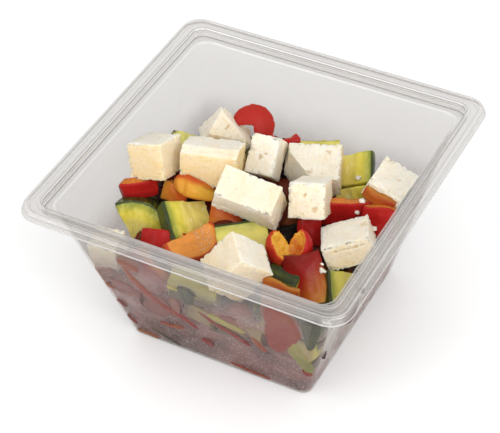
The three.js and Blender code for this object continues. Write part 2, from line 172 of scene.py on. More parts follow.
# Radius of the bow, chord across it and length; then how red the skin is at the two ends of the chord,
# and how much redder it grows from end to end.
PEPPER = {
    "pepper_left": ((-51.5, -15.2, 53.2), (27, 86, 0), (17, 23, 8), (1.0, 0.95, 0.0)),
    "pepper_left_small": ((-35.5, -7.2, 51.2), (-5, 60, 0), (12, 12, 8), (0.1, 0.5, 0.0)),
    "pepper_left_front": ((-27.5, -30.4, 47.7), (20, 38, 0), (16, 19, 9), (0.85, 0.95, 0.0)),
    "pepper_curl_front": ((31.5, -23.5, 45.5), (45, 42, -22), (16, 16, 22), (0.75, 0.35, 0.7)),
    "pepper_right": ((31, 13, 51), (22, 86, 0), (40, 22, 12), (1.0, 1.0, 0.0)),
    "pepper_right_back": ((43.2, 17.6, 59.4), (-90, 67, 90), (22, 14, 5.5), (0.3, 0.5, 0.0)),
    "pepper_right_low": ((45.3, 13, 51.5), (6, 72, 0), (20, 14, 13), (0.95, 1.0, 0.0)),
    "pepper_middle_right": ((21, 1, 46), (30, 60, 0), (9, 10, 11), (0.8, 0.9, 0.0)),
    "pepper_front_strip": ((28.0, -39.3, 41), (2, 76, 0), (45, 15, 27), (0.3, 0.4, 0.0)),
    "pepper_middle": ((-12, -7.5, 48), (10, 48, 0), (14, 14, 9), (0.3, 0.5, 0.0)),
    "pepper_back_strip": ((-9, 33.5, 57), (20, 60, 8), (24, 17, 3.5), (1.4, 1.4, 0.0)),
    "pepper_front_left": ((-25, -48, 48), (-90, 40, 90), (30, 21, 13), (0.75, 0.85, 0.2)),
}

# Pieces that lie in the shade of others, and how much that darkens their two ends.
SHADED_PIECES = {
    "pepper_right_back": (0.35, 0.35), "pepper_curl_front": (0.0, 0.6), "pepper_front_left": (0.35, 0.35),
    "pepper_front_strip": (0.35, 0.35), "cucumber_front_wall": (0.4, 0.4), "cucumber_front_low": (0.45, 0.45),
    "cucumber_front_corner": (0.4, 0.4), "cucumber_right_front": (0.25, 0.25),
    "cucumber_front_skin": (0.2, 0.2),
}

# A curl bent both ways, sized and coloured like the rest of the pepper; then its outline, as places from end
# to end of the chord and how long it is at each, in shares.
PEPPER_CURL = {"pepper_orange": ((-26.5, -7.4, 57.3), (18, 50, 0), (11, 18, 9), (0.22, -0.08, 0.0))}
CURL_OUTLINE = ((-1, -0.8, -0.4, 0.3, 1), (0.35, 0.8, 1.1, 0.85, 0.6))

# Radius and length; how red the skin is; the flat cuts, each a point in millimetres and the direction that
# the cut face looks; and whether the quarter at the lower left is gone.
TOMATO = {
    "tomato_front_left": (
        (-17.5, -26.5, 48), (-40, 0, -150), (9.4, 25), 0.8,
        (((0, 0, -4.7), (0, 0, -1)), ((2.3, -5, 0), (0.98, -0.17, 0)), ((0, 9.8, 0), (-0.2, 1, 0))), False,
    ),
    "tomato_back": ((-26.8, 43.9, 50.9), (30, 47, 0), (11.6, 23.2), 1.0, (((0, 0, 7), (0, 0, -1)),), True),
}

# Two lobes of a pepper: their radius, their length and how far from the middle each lies.
LOBES = {"pepper_lobes": ((21, -16.7, 52.6), (30, 72, 0), (5.2, 15, 4.0))}
LOBE_CUT = 1.8                      # how far from its middle each lobe is cut open
LOBE_CUT_FACES = (0.75, 0.45, 0.5)  # for the left lobe; the right one mirrors it
LOBE_SPLAY = 14                     # degrees

# The chunks packed under the rest: how often each kind is drawn, its first seed, and its variants, each
# given in the same order as in the tables above.
PACKED = {
    "cucumber": (28, 60, (((15, 88, 11), 0.2), ((14, 80, 13), 0.2), ((16, 76, 10), 0.2))),
    "pepper": (47, 70, (
        ((16, 16, 11), (0.9, 1.0, 0.0)), ((12, 14, 12), (0.5, 0.8, 0.0)), ((20, 18, 9), (1.0, 0.7, 0.0)),
        ((14, 13, 13), (0.3, 0.5, 0.0)),
    )),
    "tomato": (25, 80, (
        ((7.5, 17), 0.9, (((0, 0, -4), (0, 0, -1)),), False),
        ((8, 14), 0.9, (((0, 0, -4), (0, 0, -1)),), False),
    )),
}
PACKED_ROWS = (5.5, 15.5, 25.5, 34.5)   # heights of the rows along the walls
PACKED_STEP = 11.5                  # from chunk to chunk
PACKED_BEHIND = (3.5, 6.5)          # least and most from a wall to a chunk's middle
PACKED_BEHIND_FRONT = (11.0, 14.0)  # the same for the front wall, where strips and pieces lie between
PACKED_UNDER = 5.5                  # from the top of the heap to the middle of a chunk
TOP_GAP = (12.0, 2.0, 10.0)         # a deep gap in the top of the heap: across, deep and radius

# Cut edges and skins that lie flat against the front wall: the places they pass, across and up the wall,
# then their width at each end and their depth. Last comes how red a pepper is at each end, and how far
# under the skin a cucumber is cut.
PRESSED = {
    "cucumber": (
        (((-29.5, 8.5), (-24, 5.5), (-17.5, 2.2)), (1.0, 1.6), 2.0, (0, 0)),
        (((-4.5, 52), (-6.5, 39.5)), (10.0, 6.5), 3.0, (0, 0)),
        (((50, 60), (45.5, 38)), (9.5, 3.5), 3.0, (0, 0)),
        (((37, 42), (44, 17)), (13.0, 4.0), 4.0, (4, 2)),
        (((2, 37.5), (18, 33.5)), (6.0, 4.0), 3.0, (8, 9)),
    ),
    "pepper": (
        (
            ((-33.5, 55), (-30.5, 45), (-25.5, 37.5), (-19.5, 32), (-10, 26.5), (-3.5, 20.5)), (6.4, 5.0),
            5.0, (0.35, 0.7),
        ),
        (((-35, 55), (-25, 51.5)), (6.0, 7.0), 5.0, (0.35, 0.5)),
        (((-2.5, 38), (4.5, 32.5), (13, 28.5), (18.5, 24)), (2.4, 3.6), 3.0, (0.7, 0.7)),
        (((36, 61), (36, 46), (29, 26)), (20, 13), 4.0, (0.5, 0.65)),
        (((20.5, 33), (23, 28), (25.5, 23.5)), (4.6, 5.8), 4.0, (0.45, 0.5)),
        (((-5, 15.5), (-2.5, 14.5), (0, 12.5)), (4.4, 3.8), 3.0, (0.8, 0.85)),
        (((-24, 16.5), (-18, 17), (-12, 19)), (2.2, 3.0), 3.0, (0.5, 0.45)),
        (((-45.5, 32.5), (-41, 31)), (3.4, 3.0), 4.0, (0.3, 0.4)),
        (((-42.5, 22.5), (-38.5, 19)), (2.2, 1.8), 3.0, (0.85, 0.85)),
        (((-40, 12), (-36.5, 7.5)), (3.0, 2.2), 3.0, (0.85, 0.85)),
        (((-38, 2.5), (-32, 2.4), (-27, 1.6)), (3.0, 2.2), 4.0, (0.3, 0.4)),
        (((40.5, 20.5), (42, 18), (44, 16)), (2.2, 3.0), 3.0, (0.6, 0.6)),
        (((6, 4), (14, 3), (24, 2.2)), (2.2, 2.0), 3.0, (0.5, 0.5)),
    ),
}
PRESSED_REACH = {"cucumber": 0.42, "pepper": 0.5}    # how far they reach into the plastic
PRESSED_SHADE = 0.65                # how much they are darkened

# Crumbs of cheese: the place across and deep, and the radius.
CRUMBS = (
    (36.5, -19.5, 1.3), (37.0, 15.5, 1.3), (36.0, 13.0, 1.0), (45.5, 7.0, 1.3), (35.5, -17.5, 0.7),
    (-11.0, 8.0, 1.4), (4.0, -22.0, 0.8), (-38.0, 10.0, 1.2), (26.0, 35.0, 1.3), (3.0, 12.0, 1.5),
    (-20.0, 24.0, 1.3), (-3.0, -26.0, 0.8),
)

# Where the camera and the lamps look, in millimetres; then each lamp's place and size in metres, and its
# share of the key's or the fill's power.
AIM = (-7.8, 4.4, 40.0)
LAMPS = {
    "key": ((0.42, -0.66, 0.80), 0.4, 1.0),
    "fill_front": ((0.20, -0.98, 0.22), 0.6, 1.0),
    "fill_right": ((0.85, -0.25, 0.60), 0.6, 1.0),
    "fill_left": ((-0.60, -0.70, 0.50), 0.6, 0.6),
}


# ---- Adjustable values -------------------------------------------------------------------------

def colour_property(name, description, default):
    return bpy.props.FloatVectorProperty(
        name=name, description=description, subtype="COLOR", size=3, min=0.0, max=1.0, default=default
    )


def number_property(name, description, default, unit="NONE", least=0.0):
    return bpy.props.FloatProperty(
        name=name, description=description, default=default, min=least, unit=unit
    )


def angle_property(name, description, degrees):
    return bpy.props.FloatProperty(
        name=name, description=description, default=math.radians(degrees), subtype="ANGLE"
    )


class SaladColours(bpy.types.PropertyGroup):
    """Colours of the food and the tub."""

    cheese: colour_property("Cheese", "Fresh cut face of the cheese", (0.86, 0.815, 0.705))
    # Yellower tone of older cheese; the same colour is also used for the painted shade on the cubes' faces
    # and in their pits.
    cheese_rind_and_shade: colour_property("Cheese Rind", "Older, yellower face of the cheese", (0.76, 0.565, 0.27))
    cucumber_flesh: colour_property("Cucumber Flesh", "Yellow-green flesh", (0.68, 0.58, 0.060))
    cucumber_pale: colour_property("Cucumber Pale", "Palest flesh", (0.80, 0.74, 0.20))
    cucumber_core: colour_property("Cucumber Core", "Wet core with the seeds", (0.72, 0.61, 0.16))
    cucumber_rim: colour_property("Cucumber Rim", "Greener flesh just under the skin", (0.20, 0.25, 0.025))
    cucumber_skin: colour_property("Cucumber Skin", "Dark skin", (0.035, 0.050, 0.010))
    pepper_yellow: colour_property("Pepper Yellow", "Least ripe skin", (0.74, 0.40, 0.05))
    pepper_orange: colour_property("Pepper Orange", "Half ripe skin", (0.56, 0.13, 0.02))
    pepper_red: colour_property("Pepper Red", "Ripe skin", (0.40, 0.014, 0.012))
    pepper_cut: colour_property("Pepper Cut", "Cut edge of the flesh", (0.56, 0.15, 0.03))
    tomato_skin: colour_property("Tomato Skin", "Skin", (0.42, 0.018, 0.010))
    tomato_flesh: colour_property("Tomato Flesh", "Flesh and gel", (0.66, 0.25, 0.045))
    # Painted shade: the near-black of the deep gaps in the heap.
    core: colour_property("Core", "Deep, dark middle of the heap", (0.016, 0.009, 0.006))
    plastic: colour_property("Plastic", "Haze in the plastic", (0.54, 0.52, 0.50))
    juice: colour_property("Juice", "Thin juice on the plastic", (0.15, 0.072, 0.068))


class SaladShapes(bpy.types.PropertyGroup):
    """Sizes of the finer shapes; the cells are those of the meshes."""

    crumble: number_property("Crumble", "Depth of the chips along the cheese's edges", 0.9 * MM, "LENGTH")
    cheese_grain: number_property("Cheese Grain", "Cells of the cheese", 0.36 * MM, "LENGTH", 0.15 * MM)
    grain: number_property("Grain", "Cells of the vegetables on top", 0.6 * MM, "LENGTH", 0.2 * MM)
    chunk_grain: number_property("Chunk Grain", "Cells of the packed chunks", 1.0 * MM, "LENGTH", 0.4 * MM)


class SaladStage(bpy.types.PropertyGroup):
    """Lights and camera."""

    key_power: number_property("Key Light", "Power of the lamp beside the camera", 1.8, "POWER")
    fill_power: number_property("Fill Light", "Power of the lamps at the front and sides", 3.4, "POWER")
    sky: number_property("Sky", "Brightness of the pale surroundings", 0.87)
    azimuth: angle_property("Azimuth", "Camera's turn about the tub", 29.8)
    elevation: angle_property("Elevation", "Camera's height above the table", 42.9)
    roll: angle_property("Roll", "Camera's roll", -2.69)
    distance: number_property("Distance", "From the camera to the salad", 0.6865, "LENGTH")
    lens: number_property("Lens", "Focal length in millimetres", 122.07, least=10.0)


# ---- Shader wiring -----------------------------------------------------------------------------

class Wire:
    """A node's output, which can be used in sums: each operator adds the Math node it stands for."""

    def __init__(self, finish, socket):
        self.finish = finish
        self.socket = socket

    def __add__(self, other):
        return self.finish.sum("ADD", self, other)

    def __sub__(self, other):
        return self.finish.sum("SUBTRACT", self, other)

    def __mul__(self, other):
        return self.finish.sum("MULTIPLY", self, other)

    def __radd__(self, other):
        return self.finish.sum("ADD", other, self)

    def __rsub__(self, other):
        return self.finish.sum("SUBTRACT", other, self)

    def __rmul__(self, other):
        return self.finish.sum("MULTIPLY", other, self)


class Finish:
    """A material being wired up."""

    def __init__(self, name):
        self.material = bpy.data.materials.new(name)
        self.material.use_nodes = True
        self.tree = self.material.node_tree
        self.tree.nodes.clear()
        self.output = self.tree.nodes.new("ShaderNodeOutputMaterial")

    def node(self, kind, settings=None, values=None, output=0):
        """Adds a node, makes its settings, fills its sockets with values or wires, and gives one output."""
        made = self.tree.nodes.new("ShaderNode" + kind)
        for name, value in (settings or {}).items():
            if name == "stops":
                self.set_stops(made.color_ramp, value)
            else:
                setattr(made, name, value)
        for name, value in (values or {}).items():
            if isinstance(value, Wire):
                self.tree.links.new(value.socket, made.inputs[name])
            else:
                made.inputs[name].default_value = value
        return Wire(self, made.outputs[output])

    @staticmethod
    def set_stops(ramp, stops):
        while len(ramp.elements) < len(stops):
            ramp.elements.new(1.0)
        for element, (place, colour) in zip(ramp.elements, stops):
            element.position = place
            element.color = (*colour, 1.0)

    def sum(self, operation, first, second):
        return self.node("Math", {"operation": operation}, {0: first, 1: second})

    def step(self, value, low, high):
        """Rises smoothly from 0 at low to 1 at high; high may be the smaller."""
        settings = {"interpolation_type": "SMOOTHSTEP"}
        if high > low:
            return self.node("MapRange", settings, {"Value": value, "From Min": low, "From Max": high})
        return 1.0 - self.node("MapRange", settings, {"Value": value, "From Min": high, "From Max": low})

    def blend(self, factor, first, second):
        """Mixes two colours."""
        first = first if isinstance(first, Wire) else (*first, 1.0)
        second = second if isinstance(second, Wire) else (*second, 1.0)
        return self.node("Mix", {"data_type": "RGBA"}, {0: factor, 6: first, 7: second}, 2)

    def shade_and_mist(self, colour):
        """Paints shade onto what lies deep between other pieces, darkening it towards near-black by the
        stored amount, and dulls what lies wet against the wall.
        """
        dark = self.blend(self.attribute("deep"), colour, (0.02, 0.01, 0.006))
        return self.blend(self.attribute("misted"), dark, (0.14, 0.080, 0.075))

    def attribute(self, name, output="Fac"):
        return self.node("Attribute", {"attribute_name": name}, None, output)

    def parts(self, vector):
        """The three numbers of a vector."""
        return [self.node("SeparateXYZ", None, {0: vector}, axis) for axis in "XYZ"]

    def stretched(self, vector, scale):
        return self.node("VectorMath", {"operation": "MULTIPLY"}, {0: vector, 1: scale})

    def grain(self, vector, scale, detail=2.0, roughness=0.5):
        """Soft noise between 0 and 1."""
        values = {"Vector": vector, "Scale": scale, "Detail": detail, "Roughness": roughness}
        return self.node("TexNoise", None, values)

    def cells(self, vector):
        """How far each place is from the middle of the cell it lies in."""
        return self.node("TexVoronoi", None, {"Vector": vector, "Scale": 1.0}, "Distance")

    def bump(self, height, distance, strength=1.0):
        return self.node("Bump", None, {"Height": height, "Distance": distance, "Strength": strength})

    def surface(self, **values):
        """A Principled shader; a name's underscores stand for spaces."""
        named = {name.replace("_", " "): value for name, value in values.items()}
        return self.node("BsdfPrincipled", None, named, "BSDF")

    def finish(self, shader):
        self.tree.links.new(shader.socket, self.output.inputs["Surface"])
        return self.material


def shaded(colour, factor):
    return tuple(channel * factor for channel in colour)


# ---- Finishes ----------------------------------------------------------------------------------

def cheese_finish(colours):
    """White brined cheese: lined by the knife, pitted, whiter where it crumbled, yellower in broad random
    patches, and with yellow-tan painted shade on the faces turned from the light, low down and in the pits.
    """
    finish = Finish("white_cheese")
    place = finish.attribute("grain", "Vector")
    chipped = finish.attribute("chipped")
    aged = finish.attribute("aged")
    broad = finish.grain(place, 0.10, 3.0)
    mottle = finish.grain(place, 0.55, 4.0, 0.65)
    fine = finish.grain(place, 2.6, 2.0, 0.7)
    level = finish.grain(finish.stretched(place, (0.10, 0.10, 1.7)), 1.0, 2.0)
    upright = finish.grain(finish.stretched(place, (1.6, 0.10, 0.10)), 1.0, 2.0)
    cut_lines = level * 0.6 + upright * 0.4
    pits = finish.step(finish.grain(place, 1.0, 1.0), 0.70, 0.80)
    fresh = finish.blend(finish.step(mottle, 0.3, 0.7), shaded(colours.cheese, 0.93), colours.cheese)
    # Real tone and painted shade together: broad random yellowing, the stored painted shade and the knife
    # lines all draw the colour towards the rind colour.
    yellowed_and_shaded = finish.step(broad, 0.42, 0.75) * 0.22 + aged + 0.15 * finish.step(cut_lines, 0.55, 0.40)
    body = finish.blend(yellowed_and_shaded, fresh, colours.cheese_rind_and_shade)
    worn = finish.blend(finish.step(chipped, 0.1, 0.8) * 0.7, body, shaded(colours.cheese, 1.04))
    # Painted shade in the pits: they are darkened towards a dimmed rind colour.
    colour = finish.blend(pits * 0.3, worn, shaded(colours.cheese_rind_and_shade, 0.8))
    height = mottle * 0.5 + fine * 0.22 + cut_lines * 0.8 - pits * 0.8
    normal = finish.bump(height, 0.55 * MM, 0.85)
    return finish.finish(finish.surface(
        Base_Color=colour, Roughness=0.45 + 0.25 * mottle, Normal=normal, Subsurface_Weight=0.7,
        Subsurface_Radius=(1.0, 0.8, 0.55), Subsurface_Scale=3.5 * MM, Specular_IOR_Level=0.25,
    ))


def cucumber_finish(colours):
    """Cucumber: dark streaked skin, greener flesh under it, pale flesh, then a wet core with seeds."""
    finish = Finish("cucumber")
    grain = finish.attribute("grain", "Vector")
    pale = finish.attribute("pale")
    depth = finish.parts(grain)[0]
    streaks = finish.grain(finish.stretched(grain, (1.0, 0.12, 1.0)), 0.7, 3.0)
    wander = finish.grain(grain, 0.22, 2.0)
    below = depth + 2.4 * (wander - 0.5)
    fibres = finish.grain(finish.stretched(grain, (0.4, 0.2, 0.5)), 0.8, 3.0)
    skin = finish.blend(finish.step(streaks, 0.45, 0.72), colours.cucumber_skin,
                        shaded(colours.cucumber_rim, 0.6))
    pulp = finish.blend(pale, colours.cucumber_flesh, colours.cucumber_pale)
    green = finish.blend(pale * 0.6, colours.cucumber_rim, colours.cucumber_pale)
    flesh = finish.blend(finish.step(below, 0.6, 5.4), green, pulp)
    cored = finish.blend(finish.step(below, 6.0, 9.5) * (1.0 - pale), flesh, colours.cucumber_core)
    pale_lined = finish.blend(0.35 * finish.step(fibres, 0.46, 0.66), cored, colours.cucumber_pale)
    lined = finish.blend(0.25 * finish.step(fibres, 0.46, 0.32), pale_lined, colours.cucumber_rim)
    seeds = finish.cells(finish.stretched(grain, (0.42, 0.2, 0.6)))
    seeded = finish.blend(
        finish.step(seeds, 0.34, 0.22) * finish.step(below, 8.5, 10.5) * 0.5, lined, (0.84, 0.78, 0.42))
    colour = finish.shade_and_mist(finish.blend(finish.step(depth, 1.25, 0.75), seeded, skin))
    height = fibres * 0.7 + finish.grain(grain, 2.2, 3.0) * 0.3 + finish.step(seeds, 0.4, 0.2) * 0.3
    return finish.finish(finish.surface(
        Base_Color=colour, Roughness=0.22 + 0.25 * wander, Normal=finish.bump(height, 0.35 * MM, 0.7),
        Subsurface_Weight=0.2, Subsurface_Radius=(0.9, 1.0, 0.3), Subsurface_Scale=1.6 * MM,
        Specular_IOR_Level=0.25, Coat_Weight=0.15, Coat_Roughness=0.06,
    ))


def pepper_finish(colours):
    """Pepper: glossy skin from yellow through orange to red, and orange flesh where it is cut."""
    finish = Finish("pepper")
    grain = finish.attribute("grain", "Vector")
    ripe = finish.attribute("ripe")
    depth = finish.parts(grain)[0]
    patches = finish.grain(grain, 0.14, 3.0)
    speck = finish.grain(grain, 1.6, 3.0)
    streaks = finish.grain(finish.stretched(grain, (0.3, 0.9, 0.12)), 1.0, 2.0)
    ripeness = ripe + 0.35 * (patches - 0.5) + 0.12 * (streaks - 0.5)
    skin = finish.node("ValToRGB", {"stops": (
        (0.0, colours.pepper_yellow), (0.35, colours.pepper_orange),
        (0.62, shaded(colours.pepper_red, 1.2)), (0.95, colours.pepper_red),
    )}, {"Fac": ripeness})
    cut = finish.blend(finish.step(ripe, 0.05, 0.5), colours.pepper_yellow, colours.pepper_cut)
    speckled = finish.blend(finish.step(speck, 0.35, 0.75) * 0.5, cut, colours.pepper_yellow)
    flesh = finish.blend(finish.step(ripe, 1.15, 1.4), speckled, shaded(colours.pepper_red, 1.1))
    inside = finish.blend(finish.step(depth, 2.6, 4.0) * finish.step(ripe, 0.0, 0.4), flesh,
                          shaded(colours.pepper_orange, 1.1))
    colour = finish.shade_and_mist(finish.blend(finish.step(depth, 0.75, 0.35), inside, skin))
    height = finish.grain(grain, 0.45, 2.0) * 0.8 + speck * 0.14 + streaks * 0.2
    return finish.finish(finish.surface(
        Base_Color=colour, Roughness=0.2 + 0.2 * finish.step(depth, 0.3, 0.9) + 0.15 * patches,
        Normal=finish.bump(height, 0.45 * MM, 0.6), Subsurface_Weight=0.12,
        Subsurface_Radius=(1.0, 0.25, 0.1), Subsurface_Scale=1.5 * MM, Specular_IOR_Level=0.09,
        Coat_Weight=0.12, Coat_Roughness=0.05,
    ))


def tomato_finish(colours):
    """Tomato: red skin, orange flesh under it, and raised, glossy grains of gel in one part of the cut,
    painted near-white as glints.
    """
    finish = Finish("tomato")
    grain = finish.attribute("grain", "Vector")
    depth = finish.parts(grain)[0]
    wander = finish.grain(grain, 0.3, 2.0)
    seeds = finish.cells(finish.stretched(grain, (1.5, 1.0, 1.5)))
    streaks = finish.grain(finish.stretched(grain, (1.0, 0.25, 1.0)), 0.6, 3.0)
    gel = finish.attribute("gel")
    skin = finish.blend(finish.attribute("ripe"), colours.tomato_flesh, colours.tomato_skin)
    wall = finish.blend(streaks, shaded(colours.tomato_flesh, 0.85), shaded(colours.tomato_flesh, 1.25))
    beads = finish.step(seeds, 0.42, 0.22) * finish.step(gel + 0.5 * (streaks - 0.5), 0.4, 0.7)
    # Painted glints: the beads of gel are coloured near-white, besides being raised and glossier.
    inside = finish.blend(beads * 0.8, wall, (0.98, 0.74, 0.50))
    colour = finish.shade_and_mist(finish.blend(finish.step(depth, 0.9, 0.35), inside, skin))
    height = beads * 0.6 + 0.3 * finish.grain(grain, 1.8, 3.0) + 0.3 * streaks
    return finish.finish(finish.surface(
        Base_Color=colour, Roughness=0.34 + 0.2 * wander - 0.25 * beads,
        Normal=finish.bump(height, 0.7 * MM, 0.9), Subsurface_Weight=0.15,
        Subsurface_Radius=(1.0, 0.35, 0.12), Subsurface_Scale=1.5 * MM, Specular_IOR_Level=0.22,
        Coat_Weight=0.25 * beads, Coat_Roughness=0.05,
    ))


def core_finish(colours):
    """The wet middle of the heap: coloured near-black as painted shade down the gaps, and a darker pulp
    colour near the walls.
    """
    finish = Finish("heap_core")
    place = finish.node("TexCoord", None, None, "Object")
    lumps = finish.grain(place, 140.0, 3.0)
    dark = finish.blend(finish.step(lumps, 0.3, 0.75), shaded(colours.core, 0.3), colours.core)
    pulp = finish.blend(finish.step(lumps, 0.3, 0.75), shaded(colours.juice, 0.4), shaded(colours.juice, 0.8))
    return finish.finish(finish.surface(
        Base_Color=finish.blend(finish.attribute("pulpy"), dark, pulp), Roughness=0.55 + 0.2 * lumps,
        Normal=finish.bump(lumps, 1.5 * MM), Specular_IOR_Level=0.2,
    ))


def plastic_finish(colours):
    """Thin clear plastic: see-through with a mirror gloss outside, misted with juice inside, and with painted
    highlights and painted dark lines along its bends and round the rim.
    """
    finish = Finish("clear_plastic")
    inside = finish.attribute("inside")
    line = finish.attribute("line")
    place = finish.node("TexCoord", None, None, "Object")
    height = finish.parts(place)[2]
    cloud = finish.grain(place, 48.0, 3.0, 0.55)
    soft = finish.grain(place, 26.0, 0.0)
    sparkle = finish.grain(place, 1500.0, 1.0)
    rim = finish.step(height, 74.5 * MM, 76.5 * MM) * (1.0 - inside)
    drawn = finish.grain(finish.node("CombineXYZ", None, {"X": finish.attribute("run")}), 1.3, 1.0)
    wetted = finish.step(height + 20 * MM * (cloud - 0.5), 60 * MM, 40 * MM) * inside
    juice = finish.blend(finish.step(cloud, 0.40, 0.62), colours.juice, shaded(colours.juice, 1.7))
    juicy = finish.blend(finish.step(sparkle, 0.56, 0.70) * 0.6, juice, (0.75, 0.66, 0.66))
    mist = finish.blend(wetted, colours.plastic, juicy)
    facing = finish.node("LayerWeight", None, {"Blend": 0.5}, "Facing")
    gloss = 0.01 + 0.6 * finish.sum("POWER", facing, 8.0)
    through = finish.node("BsdfTransparent", None, {"Color": (0.875, 0.867, 0.858, 1.0)})
    # Painted highlights and painted dark lines: near-white where a bend's line is over 0 and in fine lines
    # round the rim, near-black where it is under 0 and between those lines; both also make the plastic less
    # clear there.
    bright = finish.step(line, 0.0, 0.9) + 0.6 * rim * finish.step(drawn, 0.54, 0.64)
    dark = finish.step(line, 0.0, -0.9) + 0.5 * rim * finish.step(drawn, 0.46, 0.38)
    haze = shaded(colours.plastic, 1.5)
    clear = finish.blend(dark, finish.blend(bright, haze, (0.95, 0.95, 0.95)), (0.10, 0.10, 0.10))
    skin = finish.surface(
        Base_Color=finish.blend(inside, clear, mist), Metallic=0.5 - 0.5 * inside,
        Roughness=0.2 + 0.17 * inside * cloud, Specular_IOR_Level=0.4,
        Normal=finish.bump(soft, 0.6 * MM, 0.35),
    )
    clouds = finish.step(cloud, 0.30, 0.75)
    dry = (1.0 - wetted) * inside * (0.02 + 0.14 * cloud)
    wet = wetted * (0.30 + 0.26 * clouds + 0.14 * finish.step(sparkle, 0.56, 0.70) + 0.3 * facing * facing)
    amount = gloss + 0.01 + 0.09 * rim + 0.75 * (bright + dark) + dry + wet
    return finish.finish(finish.node("MixShader", None, {0: amount, 1: through, 2: skin}))


def crumb_finish(colours):
    """Crumbs of the same cheese."""
    finish = Finish("cheese_crumb")
    place = finish.node("TexCoord", None, None, "Object")
    mottle = finish.grain(place, 900.0, 3.0)
    colour = finish.blend(mottle, shaded(colours.cheese, 0.93), shaded(colours.cheese, 1.05))
    return finish.finish(finish.surface(
        Base_Color=colour, Roughness=0.5, Normal=finish.bump(mottle, 0.2 * MM), Subsurface_Weight=0.2,
        Subsurface_Radius=(1.0, 0.7, 0.45), Subsurface_Scale=1.0 * MM,
    ))


def floor_finish():
    """The pale floor, a little uneven in tone."""
    finish = Finish("pale_floor")
    place = finish.node("TexCoord", None, None, "Object")
    soft = finish.grain(place, 6.0, 2.0)
    colour = finish.blend(soft, (0.94, 0.94, 0.94), (0.96, 0.96, 0.96))
    return finish.finish(finish.surface(Base_Color=colour, Roughness=0.7))


FINISHES = {"cucumber": cucumber_finish, "pepper": pepper_finish, "tomato": tomato_finish}


# ---- Modelling helpers -------------------------------------------------------------------------

def settings(group):
    return getattr(bpy.context.scene, "salad_" + group)


def deselect():
    bpy.ops.object.select_all(action="DESELECT")


def edit():
    bpy.ops.object.mode_set(mode="EDIT")


def done():
    bpy.ops.object.mode_set(mode="OBJECT")


def named(name):
    """Names the piece just made, and its mesh."""
    piece = bpy.context.object
    piece.name = name
    piece.data.name = name
    return piece


def activate(piece):
    deselect()
    piece.select_set(True)
    bpy.context.view_layer.objects.active = piece


def apply_modifier(piece, kind, **values):
    activate(piece)
    modifier = piece.modifiers.new(kind.title(), kind)
    for name, value in values.items():
        setattr(modifier, name, value)
    bpy.ops.object.modifier_apply(modifier=modifier.name)


def remesh(piece, size):
    apply_modifier(piece, "REMESH", mode="VOXEL", voxel_size=size)


def cut(place, facing):
    """In edit mode, takes away all beyond a plane through a place in millimetres, and closes the cut."""
    bpy.ops.mesh.select_all(action="SELECT")
    bpy.ops.mesh.bisect(
        plane_co=Vector(place) * MM, plane_no=Vector(facing), use_fill=True, clear_outer=True
    )


def new_ball(name, segments, rings, radius):
    """A ball. Blender lists its faces in no fixed order, so they are sorted, to cut alike in every run."""
    deselect()
    bpy.ops.mesh.primitive_uv_sphere_add(segments=segments, ring_count=rings, radius=radius * MM)
    piece = named(name)
    corners = [vertex.co.copy() for vertex in piece.data.vertices]
    faces = []
    for face in piece.data.polygons:
        loop = list(face.vertices)
        start = loop.index(min(loop))
        faces.append(loop[start:] + loop[:start])
    piece.data.clear_geometry()
    piece.data.from_pydata(corners, [], sorted(faces))
    return piece


def read(piece, name):
    flat = np.empty(len(piece.data.vertices) * 3)
    piece.data.vertices.foreach_get(name, flat)
    return flat.reshape(-1, 3)


def points_of(piece):
    """The piece's points, in millimetres."""
    return read(piece, "co") / MM


def normals_of(piece):
    return read(piece, "normal")


def move_points(piece, points):
    piece.data.vertices.foreach_set("co", (points * MM).ravel())
    piece.data.update()


def ripple(points, size, seed):
    """Smooth noise between -1 and 1 at each point, in waves of about the given size."""
    shift = Vector((7.31 * seed, 3.17 * seed, 5.71 * seed))
    return np.array([noise.noise(Vector(point) / size + shift) for point in points])


def swell(piece, size, amount, seed):
    """Moves the surface in and out by up to the amount, in millimetres."""
    points = points_of(piece)
    wave = ripple(points, size, seed)
    move_points(piece, points + normals_of(piece) * (wave * amount)[:, None])


def store(piece, name, values):
    """Keeps a number or a vector at each point for the finish to read."""
    values = np.asarray(values, dtype=np.float32)
    if values.ndim == 2:
        piece.data.attributes.new(name, "FLOAT_VECTOR", "POINT").data.foreach_set("vector", values.ravel())
    else:
        piece.data.attributes.new(name, "FLOAT", "POINT").data.foreach_set("value", values)


def store_grain(piece, depth, along, across, seed):
    """Keeps how deep under the skin each point lies and where, so that the grain follows the piece."""
    store(piece, "grain", np.stack([depth, along + 50.0 * seed, across], axis=1))


def smooth_step(value, low, high):
    """Rises smoothly from 0 at low to 1 at high; high may be the smaller."""
    part = np.clip((value - low) / (high - low), 0.0, 1.0)
    return part * part * (3.0 - 2.0 * part)


def laid(middle, angles):
    """The matrix that lays a piece: lean about its own Y, tip about X, turn about Z, then the move."""
    turn, tip, lean = (math.radians(angle) for angle in angles)
    spin = Matrix.Rotation(turn, 4, "Z") @ Matrix.Rotation(tip, 4, "X") @ Matrix.Rotation(lean, 4, "Y")
    return Matrix.Translation(Vector(middle) * MM) @ spin


def lay(piece, middle, angles):
    activate(piece)
    piece.matrix_world = laid(middle, angles)
    bpy.ops.object.transform_apply()
    keep_in_tub(piece)
    mist(piece, MIST)


def inner_half(height):
    return BASE_HALF - SHEET + WALL_SLOPE * height


